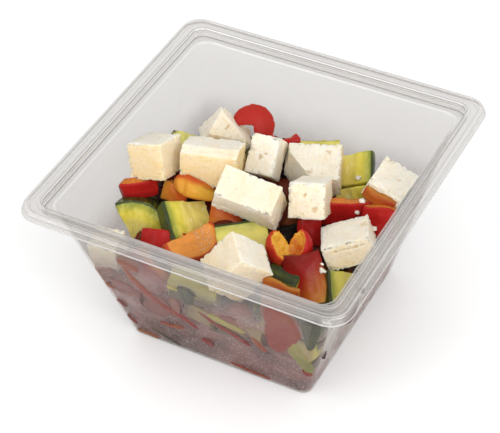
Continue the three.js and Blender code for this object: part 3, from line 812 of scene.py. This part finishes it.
def keep_in_tub(piece, press=PRESS):
    """Presses whatever would pass through the wall or the base flat against it, just into the plastic."""
    points = points_of(piece)
    height = np.clip(points[:, 2], 0.0, LEDGE_TOP)
    half = inner_half(height) + press
    corner = BASE_CORNER + (MOUTH_CORNER - BASE_CORNER) * height / LEDGE_TOP
    points[:, 2] = np.maximum(points[:, 2], SHEET - press)
    for axis in (0, 1):
        points[:, axis] = np.clip(points[:, axis], -half, half)
    beyond = np.abs(points[:, :2]) - (half - corner)[:, None]
    reach = np.linalg.norm(np.maximum(beyond, 0.0), axis=1)
    outside = (beyond.min(axis=1) > 0.0) & (reach > corner)
    pull = np.where(outside, corner / np.maximum(reach, 1e-6), 1.0)
    for axis in (0, 1):
        pulled = (half - corner) + beyond[:, axis] * pull
        points[:, axis] = np.where(outside, np.sign(points[:, axis]) * pulled, points[:, axis])
    move_points(piece, points)


def mist(piece, amount):
    """Stores how much the juice between a piece and the wall dulls it."""
    points = points_of(piece)
    from_wall = inner_half(points[:, 2]) - np.abs(points[:, :2]).max(axis=1)
    low = 1.0 - smooth_step(points[:, 2] + 6.0 * ripple(points, 11.0, 2), *MIST_FADES)
    store(piece, "misted", amount * (1.0 - smooth_step(from_wall, -0.1, 1.5)) * low)


def smooth(piece):
    activate(piece)
    bpy.ops.object.shade_smooth()


def surface_of(*pieces):
    """The pieces' surfaces, for finding how high something would come to rest on them."""
    corners = []
    faces = []
    for piece in pieces:
        start = len(corners)
        corners.extend(vertex.co.copy() for vertex in piece.data.vertices)
        faces.extend([start + index for index in face.vertices] for face in piece.data.polygons)
    return BVHTree.FromPolygons(corners, faces)


def top_at(surface, across, deep):
    """The height of the surface at a place, in millimetres, or None beside it."""
    place = surface.ray_cast(Vector((across * MM, deep * MM, 0.2)), Vector((0, 0, -1)))[0]
    return None if place is None else place.z / MM


def shade(piece, near, far, length):
    """Stores how much painted shade darkens a piece from end to end of its length."""
    store(piece, "deep", near + (far - near) * np.clip(points_of(piece)[:, 1] / length + 0.5, 0.0, 1.0))


def join(pieces, name):
    deselect()
    for piece in pieces:
        piece.select_set(True)
    bpy.context.view_layer.objects.active = pieces[0]
    bpy.ops.object.join()
    return named(name)


def present(piece, material, slot, *nodes):
    """Gives a finished piece its finish and its place in the frame."""
    piece.data.materials.clear()
    piece.data.materials.append(material)
    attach(piece, "root")
    if nodes:
        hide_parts(*nodes)


def lay_all(table, build, grain, material, slot, first_seed=1):
    """Builds the pieces of a table, each in its own frame, lays them on the salad and finishes them."""
    for seed, (node, (middle, angles, *details)) in enumerate(table.items(), first_seed):
        piece = build(node, *details, seed, grain)
        if node in SHADED_PIECES:
            shade(piece, *SHADED_PIECES[node], details[0][2])
        lay(piece, middle, angles)
        smooth(piece)
        named("fresh_" + node)
        present(piece, material, slot, node)


# ---- Cheese ------------------------------------------------------------------------------------

def cheese_cube(node, size, seed, grain):
    """A cut cube with crumbled edges, holes and cracks."""
    deselect()
    bpy.ops.mesh.primitive_cube_add(size=1.0)
    piece = named(node)
    piece.scale = Vector(size) * MM
    bpy.ops.object.transform_apply()
    half = np.array(size) / 2
    if node in CHEESE_CUTS:
        place, facing = CHEESE_CUTS[node]
        edit()
        cut(half * place, facing)
        done()
    remesh(piece, grain)
    points = points_of(piece)
    normals = normals_of(piece)
    # Painted shade: a yellow-tan tint by the way each face looks, stronger towards the cube's foot.
    front, right, left, top = CHEESE_FACE_SHADE[node]
    lower = 0.75 + 0.25 * smooth_step(-points[:, 2] / half[2], -0.6, 0.8)
    aged = front * smooth_step(-normals[:, 1], 0.4, 0.9) + right * smooth_step(normals[:, 0], 0.4, 0.9)
    aged += left * smooth_step(-normals[:, 0], 0.4, 0.9) + top * smooth_step(normals[:, 2], 0.4, 0.9)
    edge = 1.0 - smooth_step(np.abs(normals).max(axis=1), 0.80, 0.97)
    inward = np.sort(half - np.abs(points), axis=1)[:, 1]
    near_edge = 1.0 - smooth_step(inward, 0.1, 1.9)
    crumb = ripple(points, 2.6, seed) * 0.6 + ripple(points, 1.0, seed + 3) * 0.65
    crumble = settings("shapes").crumble / MM
    chip = near_edge * smooth_step(crumb, 0.0, 0.5) * crumble
    bites = (1.0 - smooth_step(inward, 0.4, 2.6)) * smooth_step(ripple(points, 3.4, seed + 6), 0.3, 0.45)
    chip += 0.6 * bites * crumble
    moved = points - normals * chip[:, None]
    hollow = np.zeros(len(points))
    ragged = 0.55 * ripple(points, 1.4, seed + 11) + 0.3 * ripple(points, 0.7, seed + 12)
    for place, radii in CHEESE_PITS.get(node, ()):
        away = np.linalg.norm((points - half * place) / radii, axis=1) + ragged
        hollow = np.maximum(hollow, 1.0 - smooth_step(away, 0.5, 1.0))
    pocks = smooth_step(ripple(points, 1.0, seed + 15), 0.42, 0.62) * (1.0 - near_edge)
    moved -= normals * (1.3 * hollow + 0.35 * pocks)[:, None]
    left_flare, right_flare = CHEESE_FLARES.get(node, (0.0, 0.0))
    foot = smooth_step(-points[:, 2] / half[2], -1.0, 1.0)
    moved[:, 0] += foot * (right_flare * smooth_step(points[:, 0] / half[0], 0.0, 1.0)
                           - left_flare * smooth_step(-points[:, 0] / half[0], 0.0, 1.0))
    move_points(piece, moved)
    swell(piece, 7.0, 0.25, seed + 7)
    swell(piece, 1.1, 0.12, seed + 9)
    store(piece, "grain", points + 40.0 * seed)
    store(piece, "chipped", np.clip(chip / max(crumble, 1e-6) + 0.3 * edge, 0.0, 1.0))
    # Stores the painted shade, with more of it in the holes and pocks.
    store(piece, "aged", np.clip(aged * lower + 0.35 * hollow + 0.2 * pocks, 0.0, 1.0))
    return piece


class SALAD_OT_cheese(bpy.types.Operator):
    """Cuts the white cheese cubes and lays them on the salad"""

    bl_idname = "salad.cheese"
    bl_label = "Cheese Cubes"

    def execute(self, context):
        material = cheese_finish(settings("colours"))
        lay_all(CHEESE, cheese_cube, settings("shapes").cheese_grain, material, "cheese")
        return {"FINISHED"}


# ---- Cucumber ----------------------------------------------------------------------------------

def sector(name, radius, span, length):
    """A sector of a round, skin upwards, with the length along Y and its point below the middle."""
    deselect()
    bpy.ops.mesh.primitive_cylinder_add(
        vertices=72, radius=radius * MM, depth=length * MM, rotation=(math.pi / 2, 0, 0)
    )
    piece = named(name)
    bpy.ops.object.transform_apply()
    half = math.radians(span / 2)
    edit()
    for side in (-1, 1):
        cut((0, 0, 0), (side * math.cos(half), 0, -math.sin(half)))
    done()
    return piece


def cucumber_chunk(name, sizes, pale, seed, grain):
    radius, span, length = sizes
    piece = sector(name, radius, span, length)
    remesh(piece, grain)
    points = points_of(piece)
    away = np.hypot(points[:, 0], points[:, 2])
    depth = radius - away
    around = np.arctan2(points[:, 0], points[:, 2]) * radius
    store_grain(piece, depth, points[:, 1], around + 9.0 * seed, seed)
    store(piece, "pale", np.full(len(points), pale))
    swell(piece, 6.0, 0.5, seed)
    swell(piece, 2.0, 0.12, seed + 2)
    points = points_of(piece)
    core = smooth_step(depth, 0.45 * radius, 0.62 * radius)
    points -= normals_of(piece) * (0.35 * core)[:, None]
    points[:, 2] -= radius / 2
    move_points(piece, points)
    return piece


class SALAD_OT_cucumber(bpy.types.Operator):
    """Cuts the cucumber chunks that show on top"""

    bl_idname = "salad.cucumber"
    bl_label = "Cucumber Chunks"

    def execute(self, context):
        material = cucumber_finish(settings("colours"))
        lay_all(CUCUMBER, cucumber_chunk, settings("shapes").grain, material, "cucumber")
        return {"FINISHED"}


# ---- Pepper ------------------------------------------------------------------------------------

def pepper_band(name, sizes, redness, seed, grain):
    """A piece of pepper wall bowed round Y, skin outwards, with its cut edges a little uneven."""
    radius, chord, length = sizes
    reach = math.asin(min(chord / 2 / radius, 1.0))
    deselect()
    bpy.ops.mesh.primitive_grid_add(x_subdivisions=24, y_subdivisions=14, size=2.0)
    piece = named(name)
    points = points_of(piece) * MM
    angle = points[:, 0] * reach
    bow = radius + 0.35 * ripple(points * 4.0, 2.0, seed)
    along = points[:, 1] * (length / 2 + min(0.05 * length, 0.6) * ripple(points * 3.0, 2.0, seed + 4))
    along += min(0.06 * length, 0.7) * np.sin(2.2 * points[:, 0] + seed)
    moved = np.stack([bow * np.sin(angle), along, bow * np.cos(angle) - radius], axis=1)
    move_points(piece, moved)
    apply_modifier(piece, "SOLIDIFY", thickness=THIN_WALLS.get(name, PEPPER_WALL) * MM, offset=-1.0)
    remesh(piece, grain)
    points = points_of(piece)
    away = np.hypot(points[:, 0], points[:, 2] + radius)
    depth = radius - away
    turned = np.arctan2(points[:, 0], points[:, 2] + radius)
    left, right, along = redness
    ripe = left + (right - left) * np.clip(0.5 + 0.5 * turned / reach, 0, 1)
    store(piece, "ripe", ripe + along * points[:, 1] / length)
    store_grain(piece, depth, points[:, 1], turned * radius + 9.0 * seed, seed)
    swell(piece, 5.0, 0.35, seed)
    points = points_of(piece)
    points[:, 2] += PEPPER_WALL / 2
    move_points(piece, points)
    return piece


def pepper_curl(name, sizes, redness, seed, grain):
    """A short curled piece of pepper, rounded over both ways, narrow at its left end."""
    radius, chord, length = sizes
    piece = pepper_band(name, sizes, redness, seed, grain)
    points = points_of(piece)
    across = points[:, 0] / (chord / 2)
    along = points[:, 1] / (length / 2)
    ripe = np.empty(len(points))
    piece.data.attributes["ripe"].data.foreach_get("value", ripe)
    ripe += 0.35 * smooth_step(np.abs(along + 0.1), 0.45, 1.0)
    piece.data.attributes["ripe"].data.foreach_set("value", ripe.astype(np.float32))
    points[:, 1] *= np.interp(across, *CURL_OUTLINE)
    points[:, 1] -= 1.9 * across
    points[:, 2] -= 1.9 * along * along + 1.3 * np.exp(-((across + 0.45) / 0.16) ** 2)
    points[:, 2] -= 1.6 * np.exp(-((along - 0.55) / 0.14) ** 2) * smooth_step(across, 0.3, 0.6)
    move_points(piece, points)
    return piece


def pepper_tip(name, sizes, seed, grain):
    """The blossom end of a pepper with two of its lobes, cut open so that their hollow insides show."""
    radius, length, spread = sizes
    lobes = []
    for side in (-1, 1):
        lobe = new_ball(name + "_lobe", 32, 20, radius)
        lobe.scale = (1.0, length / 2 / radius, 0.9)
        lobe.rotation_euler = (0, 0, math.radians(-LOBE_SPLAY * side))
        lobe.location = (side * spread * MM, 0, 0)
        bpy.ops.object.transform_apply()
        facing = Vector((-side * LOBE_CUT_FACES[0], *LOBE_CUT_FACES[1:])).normalized()
        edit()
        cut(Vector((side * spread, 0, 0)) + LOBE_CUT * facing, facing)
        done()
        lobes.append(lobe)
    piece = join(lobes, name)
    remesh(piece, grain)
    points = points_of(piece)
    normals = normals_of(piece)
    side = np.where(points[:, 0] < 0, -1.0, 1.0)
    facing = np.tile(LOBE_CUT_FACES, (len(points), 1))
    facing[:, 0] *= -side
    facing /= np.linalg.norm(facing[0])
    middle = np.stack([side * spread, 0 * side, 0 * side], axis=1)
    splay = math.radians(LOBE_SPLAY)
    local = points - middle
    turned = np.stack([
        local[:, 0] * math.cos(splay) - side * local[:, 1] * math.sin(splay),
        side * local[:, 0] * math.sin(splay) + local[:, 1] * math.cos(splay), local[:, 2],
    ], axis=1)
    depth = (1.0 - np.linalg.norm(turned / np.array([radius, length / 2, 0.9 * radius]), axis=1)) * radius
    rough = ripple(points, 1.6, seed)
    opened = smooth_step((normals * facing).sum(axis=1), 0.6, 0.9)
    opened *= smooth_step(depth + 0.5 * rough, 0.0, 0.5)
    streaks = ripple(points / np.array([1.0, 4.0, 1.0]), 1.1, seed + 2)
    pale = 0.25 * smooth_step(points[:, 1] / length, -0.1, 0.4)
    pale *= smooth_step(side * local[:, 0] / radius, 0.6, -0.4)
    store(piece, "ripe", 0.9 - pale - 0.3 * (side < 0) - opened * (0.6 + 0.3 * streaks))
    store_grain(piece, 0.3 * opened, points[:, 1], points[:, 0], seed)
    hollow = opened * smooth_step(depth, 0.8, 2.6)
    points -= facing * (1.6 * hollow + opened * (0.7 * streaks + 0.5 * rough))[:, None]
    points[:, 1] += 1.3 * smooth_step(points[:, 1] / length, 0.15, 0.4) * ripple(points, 2.2, seed + 4)
    move_points(piece, points)
    swell(piece, 3.0, 0.45, seed)
    return piece


class SALAD_OT_pepper(bpy.types.Operator):
    """Cuts the pepper pieces that show on top"""

    bl_idname = "salad.pepper"
    bl_label = "Pepper Pieces"

    def execute(self, context):
        material = pepper_finish(settings("colours"))
        grain = settings("shapes").grain
        lay_all(PEPPER, pepper_band, grain, material, "pepper")
        lay_all(PEPPER_CURL, pepper_curl, grain, material, "orange_pepper", 20)
        lay_all(LOBES, pepper_tip, grain, material, "pepper", 30)
        return {"FINISHED"}


# ---- Tomato ------------------------------------------------------------------------------------

def carve(piece, low, high):
    """Cuts a box away; its corners are in millimetres in the piece's own frame."""
    middle = (Vector(low) + Vector(high)) / 2 * MM
    deselect()
    bpy.ops.mesh.primitive_cube_add(size=1.0, location=middle)
    cutter = named("cutter")
    cutter.scale = (Vector(high) - Vector(low)) * MM
    bpy.ops.object.transform_apply()
    apply_modifier(piece, "BOOLEAN", operation="DIFFERENCE", solver="EXACT", object=cutter)
    bpy.data.objects.remove(cutter)


def tomato_wedge(name, sizes, ripe, cuts, quartered, seed, grain):
    """A drawn-out ball with flat cuts, where the flesh and the gel show."""
    radius, length = sizes
    piece = new_ball(name, 40, 24, radius)
    piece.scale = (1.0, length / 2 / radius, 1.0)
    bpy.ops.object.transform_apply()
    edit()
    for place, facing in cuts:
        cut(place, facing)
    done()
    if quartered:
        carve(piece, (-2 * radius, -2 * radius, -radius), (0, 0, 2 * radius))
    remesh(piece, grain)
    points = points_of(piece)
    ball = points * np.array([1.0, 2 * radius / length, 1.0])
    depth = radius - np.linalg.norm(ball, axis=1)
    store_grain(piece, depth, points[:, 1], points[:, 0], seed)
    store(piece, "ripe", np.full(len(points), ripe))
    gel = smooth_step(depth, 0.8, 2.2) * smooth_step(points[:, 1] / length, 0.0, 0.1)
    gel *= smooth_step(points[:, 1] / length, 0.36, 0.3)
    store(piece, "gel", gel)
    hollow = smooth_step(depth, 2.0, 3.4) * (0.5 + 0.6 * ripple(points, 2.2, seed)) + 0.4 * gel
    points -= normals_of(piece) * (0.6 * hollow)[:, None]
    move_points(piece, points)
    swell(piece, 6.0, 0.4, seed + 1)
    swell(piece, 2.0, 0.25, seed + 2)
    return piece


class SALAD_OT_tomato(bpy.types.Operator):
    """Cuts the tomato pieces that show on top"""

    bl_idname = "salad.tomato"
    bl_label = "Tomato Pieces"

    def execute(self, context):
        material = tomato_finish(settings("colours"))
        lay_all(TOMATO, tomato_wedge, settings("shapes").grain, material, "tomato")
        return {"FINISHED"}


# ---- Tub ---------------------------------------------------------------------------------------

def rounded_ring(half, corner, height):
    """A square outline with round corners, as a loop of edges."""
    deselect()
    bpy.ops.mesh.primitive_plane_add(size=2 * half * MM, location=(0, 0, height * MM))
    edit()
    bpy.ops.mesh.select_all(action="SELECT")
    bpy.ops.mesh.bevel(offset=corner * MM, segments=TUB_CORNER_STEPS, affect="VERTICES")
    bpy.ops.mesh.delete(type="ONLY_FACE")
    done()
    return bpy.context.object


def select_rings(piece, first, count, size):
    edit()
    bpy.ops.mesh.select_mode(type="VERT")
    bpy.ops.mesh.select_all(action="DESELECT")
    done()
    for index in range(first * size, (first + count) * size):
        piece.data.vertices[index].select = True
    edit()


class SALAD_OT_tub(bpy.types.Operator):
    """Forms the clear tub in one skin, from under the base, over the flange and down the inside"""

    bl_idname = "salad.tub"
    bl_label = "Tub"

    def execute(self, context):
        rings = [rounded_ring(*section[:3]) for section in TUB_SECTIONS]
        size = len(rings[0].data.vertices)
        piece = rings[0]
        for ring in rings[1:]:
            piece = join([piece, ring], "clear_tub")
        bpy.ops.object.transform_apply()
        for first in range(len(TUB_SECTIONS) - 1):
            select_rings(piece, first, 2, size)
            bpy.ops.mesh.bridge_edge_loops()
            done()
        for first in (0, len(TUB_SECTIONS) - 1):
            select_rings(piece, first, 1, size)
            bpy.ops.mesh.edge_face_add()
            done()
        edit()
        bpy.ops.mesh.select_all(action="SELECT")
        bpy.ops.mesh.normals_make_consistent(inside=False)
        done()
        ring = np.minimum(np.arange(len(piece.data.vertices)) // size, len(TUB_SECTIONS) - 1)
        store(piece, "inside", (ring > len(TUB_SECTIONS) - 1 - INNER_RINGS) * 1.0)
        sections = np.array(TUB_SECTIONS)
        store(piece, "line", sections[ring, 3])
        run = np.hypot(np.diff(sections[:, 0]), np.diff(sections[:, 2])).cumsum()
        store(piece, "run", np.concatenate([[0.0], run])[ring])
        activate(piece)
        bpy.ops.object.shade_smooth_by_angle(angle=math.radians(32))
        present(piece, plastic_finish(settings("colours")), "tub", "tub")
        return {"FINISHED"}


# ---- Heap --------------------------------------------------------------------------------------

class SALAD_OT_heap(bpy.types.Operator):
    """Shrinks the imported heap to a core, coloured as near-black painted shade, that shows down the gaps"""

    bl_idname = "salad.heap"
    bl_label = "Heap Core"

    def execute(self, context):
        source = frame["nodes"]["salad_heap"]
        piece = bpy.data.objects.new("heap_core", source.data.copy())
        context.collection.objects.link(piece)
        activate(piece)
        edit()
        bpy.ops.mesh.select_all(action="SELECT")
        bpy.ops.mesh.remove_doubles(threshold=0.01 * MM)
        done()
        remesh(piece, 2.0 * MM)
        points = points_of(piece)
        points -= normals_of(piece) * (CORE_DEPTH + 1.5 * ripple(points, 8.0, 3))[:, None]
        store(piece, "pulpy", smooth_step(np.abs(points[:, :2]).max(axis=1), 26.0, 36.0))
        move_points(piece, points)
        smooth(piece)
        present(piece, core_finish(settings("colours")), "salad", "salad_heap")
        return {"FINISHED"}


def chunk_spots(heap):
    """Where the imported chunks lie: along each wall, under the base of the heap and just under its top."""
    chance = random.Random(11)
    spots = []
    for side in range(4):
        turn = Matrix.Rotation(math.radians(90 * side), 3, "Z")
        for row, height in enumerate(PACKED_ROWS):
            reach = inner_half(height) - 5.0
            count = int(2 * reach / PACKED_STEP)
            for step in range(count):
                across = (step + 0.5 + 0.25 * (row % 2)) / count * 2 - 1
                across = across * reach + chance.uniform(-1.5, 1.5)
                back = chance.uniform(*(PACKED_BEHIND if side else PACKED_BEHIND_FRONT))
                place = Vector((across, back - inner_half(height), height + chance.uniform(-2.0, 2.0)))
                spots.append(turn @ place)
    for column in range(6):
        for row in range(6):
            spots.append(Vector((PACKED_STEP * (column - 2.5), PACKED_STEP * (row - 2.5), 5.0)))
    for column in range(9):
        for row in range(9):
            across = 11.6 * (column - 4) + chance.uniform(-2, 2)
            deep = 11.6 * (row - 4) + chance.uniform(-2, 2)
            top = top_at(heap, across, deep)
            in_gap = math.hypot(across - TOP_GAP[0], deep - TOP_GAP[1]) < TOP_GAP[2]
            if top is not None and not in_gap:
                spots.append(Vector((across, deep, top - PACKED_UNDER)))
    return spots


class SALAD_OT_packed(bpy.types.Operator):
    """Packs chopped cucumber, pepper and tomato round the core, flat against the tub where they touch it"""

    bl_idname = "salad.packed"
    bl_label = "Packed Chunks"

    def execute(self, context):
        colours = settings("colours")
        grain = settings("shapes").chunk_grain
        builders = {"cucumber": cucumber_chunk, "pepper": pepper_band, "tomato": tomato_wedge}
        kinds = {
            kind: [
                builders[kind]("cut", *details, seed, grain) for seed, details in enumerate(variants, first)
            ] for kind, (_, first, variants) in PACKED.items()
        }
        weights = [weight for weight, _, _ in PACKED.values()]
        chance = random.Random(5)
        placed = {kind: [] for kind in kinds}
        for spot in chunk_spots(surface_of(frame["nodes"]["salad_heap"])):
            kind = chance.choices(tuple(kinds), weights)[0]
            activate(chance.choice(kinds[kind]))
            bpy.ops.object.duplicate()
            piece = bpy.context.object
            angles = [chance.uniform(0, 360) for _ in range(3)]
            piece.matrix_world = laid(spot, angles)
            placed[kind].append(piece)
        for kind, copies in placed.items():
            for variant in kinds[kind]:
                bpy.data.objects.remove(variant)
            piece = join(copies, "packed_" + kind)
            bpy.ops.object.transform_apply()
            keep_in_tub(piece)
            points = points_of(piece)
            from_wall = inner_half(points[:, 2]) - np.abs(points[:, :2]).max(axis=1)
            # Painted shade: the packed chunks are darkened, less near the walls and more further in.
            store(piece, "deep", 0.45 + 0.3 * smooth_step(from_wall, 3.0, 12.0))
            mist(piece, PACKED_MIST)
            smooth(piece)
            present(piece, FINISHES[kind](colours), kind, "salad_heap")
        return {"FINISHED"}


# ---- Strips pressed against the front wall -----------------------------------------------------

def pressed_strip(name, path, widths, deep, ends, seed):
    """A ball drawn out along the path on the wall, as wide and as deep as given."""
    piece = new_ball(name, 20, 32, 1.0)
    points = points_of(piece)
    share = (points[:, 2] + 1.0) / 2.0
    steps = np.linspace(0.0, 1.0, len(path))
    places = np.array(path, dtype=float)
    centre = np.stack([np.interp(share, steps, places[:, axis]) for axis in (0, 1)], axis=1)
    course = places[-1] - places[0]
    course /= np.linalg.norm(course)
    full = np.maximum(1.0 - points[:, 2] ** 2, 0.0) ** 0.35
    full /= np.maximum(np.hypot(points[:, 0], points[:, 1]), 1e-6)
    width = widths[0] + (widths[1] - widths[0]) * share
    width *= 1.0 + np.minimum(0.35, 1.2 / width) * ripple(centre[:, [0, 1, 1]], 4.0, seed)
    aside = points[:, 0] * full * width / 2
    back = points[:, 1] * full * deep / 2 + deep / 2 - 1.2
    across = centre[:, 0] + aside * course[1]
    height = centre[:, 1] - aside * course[0]
    move_points(piece, np.stack([across, back - inner_half(height), height], axis=1))
    along = ends[0] + (ends[1] - ends[0]) * share
    store(piece, "ripe", along)
    # Painted shade: every strip is darkened by the same amount.
    store(piece, "deep", np.full(len(points), PRESSED_SHADE))
    store_grain(piece, along * (ends[0] > 1), height, across, seed)
    return piece


class SALAD_OT_pressed(bpy.types.Operator):
    """Presses narrow cut edges and bits of skin flat against the front wall"""

    bl_idname = "salad.pressed"
    bl_label = "Pressed Strips"

    def execute(self, context):
        for kind, strips in PRESSED.items():
            pieces = [pressed_strip("strip", *strip, seed) for seed, strip in enumerate(strips, 1)]
            piece = join(pieces, "pressed_" + kind)
            bpy.ops.object.transform_apply()
            keep_in_tub(piece, PRESSED_REACH[kind])
            smooth(piece)
            present(piece, FINISHES[kind](settings("colours")), kind)
        return {"FINISHED"}


# ---- Crumbs ------------------------------------------------------------------------------------

class SALAD_OT_crumbs(bpy.types.Operator):
    """Drops a few crumbs of cheese onto what lies below"""

    bl_idname = "salad.crumbs"
    bl_label = "Cheese Crumbs"

    def execute(self, context):
        food = [piece for piece in bpy.data.objects if piece.name.startswith(("fresh_", "packed_"))]
        ground = surface_of(*food)
        crumbs = []
        for seed, (across, deep, size) in enumerate(CRUMBS):
            deselect()
            bpy.ops.mesh.primitive_ico_sphere_add(subdivisions=3, radius=size * MM)
            crumb = bpy.context.object
            points = points_of(crumb)
            wave = ripple(points, 0.5, seed) + ripple(points, 1.3, seed + 5)
            points = points * (1.0 + 0.6 * wave)[:, None] * np.array([1.0, 0.8, 0.7])
            move_points(crumb, points + np.array([across, deep, top_at(ground, across, deep) + 0.35 * size]))
            crumbs.append(crumb)
        piece = join(crumbs, "cheese_crumbs")
        bpy.ops.object.transform_apply()
        smooth(piece)
        present(piece, crumb_finish(settings("colours")), "cheese")
        return {"FINISHED"}


# ---- Stage -------------------------------------------------------------------------------------

def add_lamp(name, location, size, power):
    deselect()
    bpy.ops.object.light_add(type="AREA", location=location)
    lamp = bpy.context.object
    lamp.name = name
    lamp.data.size = size
    lamp.data.energy = power
    lamp.rotation_euler = (Vector(AIM) * MM - Vector(location)).to_track_quat("-Z", "Y").to_euler()


class SALAD_OT_stage(bpy.types.Operator):
    """Sets the pale floor, the soft light and the camera"""

    bl_idname = "salad.stage"
    bl_label = "Stage"

    def execute(self, context):
        stage = settings("stage")
        deselect()
        bpy.ops.mesh.primitive_plane_add(size=5.0, location=(0, 0, -0.0003))
        floor = named("floor")
        bpy.ops.object.transform_apply()
        floor.data.materials.append(floor_finish())
        world = bpy.data.worlds.new("pale_room")
        context.scene.world = world
        world.use_nodes = True
        sky = world.node_tree.nodes["Background"]
        sky.inputs["Color"].default_value = (1.0, 1.0, 1.0, 1.0)
        sky.inputs["Strength"].default_value = stage.sky
        for name, (location, size, share) in LAMPS.items():
            power = stage.key_power if name == "key" else stage.fill_power
            add_lamp(name, location, size, share * power)
        toward = Vector((
            math.sin(stage.azimuth) * math.cos(stage.elevation),
            -math.cos(stage.azimuth) * math.cos(stage.elevation), math.sin(stage.elevation),
        ))
        deselect()
        bpy.ops.object.camera_add(location=Vector(AIM) * MM + toward * stage.distance)
        camera = bpy.context.object
        camera.name = "camera"
        level = (-toward).to_track_quat("-Z", "Y")
        camera.rotation_euler = (level @ Quaternion((0, 0, 1), stage.roll)).to_euler()
        camera.data.lens = stage.lens
        camera.data.sensor_width = 36.0
        camera.data.clip_start = 0.01
        context.scene.camera = camera
        context.scene.view_settings.view_transform = "Standard"
        return {"FINISHED"}


# ---- Add-on ------------------------------------------------------------------------------------

MAKERS = (
    SALAD_OT_stage, SALAD_OT_tub, SALAD_OT_heap, SALAD_OT_packed, SALAD_OT_pressed, SALAD_OT_cucumber,
    SALAD_OT_pepper, SALAD_OT_tomato, SALAD_OT_cheese, SALAD_OT_crumbs,
)
GROUPS = {"salad_colours": SaladColours, "salad_shapes": SaladShapes, "salad_stage": SaladStage}


class SALAD_PT_panel(bpy.types.Panel):
    """Lists the salad's makers in the sidebar"""

    bl_idname = "SALAD_PT_panel"
    bl_label = "Shopska Salad"
    bl_space_type = "VIEW_3D"
    bl_region_type = "UI"
    bl_category = "Salad"

    def draw(self, context):
        for maker in MAKERS:
            self.layout.operator(maker.bl_idname)


def register():
    for group in GROUPS.values():
        bpy.utils.register_class(group)
    for name, group in GROUPS.items():
        setattr(bpy.types.Scene, name, bpy.props.PointerProperty(type=group))
    for maker in (*MAKERS, SALAD_PT_panel):
        bpy.utils.register_class(maker)


def unregister():
    for maker in (*MAKERS, SALAD_PT_panel):
        bpy.utils.unregister_class(maker)
    for name, group in GROUPS.items():
        delattr(bpy.types.Scene, name)
        bpy.utils.unregister_class(group)


def main():
    register()
    for maker in MAKERS:
        group, name = maker.bl_idname.split(".")
        getattr(getattr(bpy.ops, group), name)()


if __name__ == "__main__":
    main()
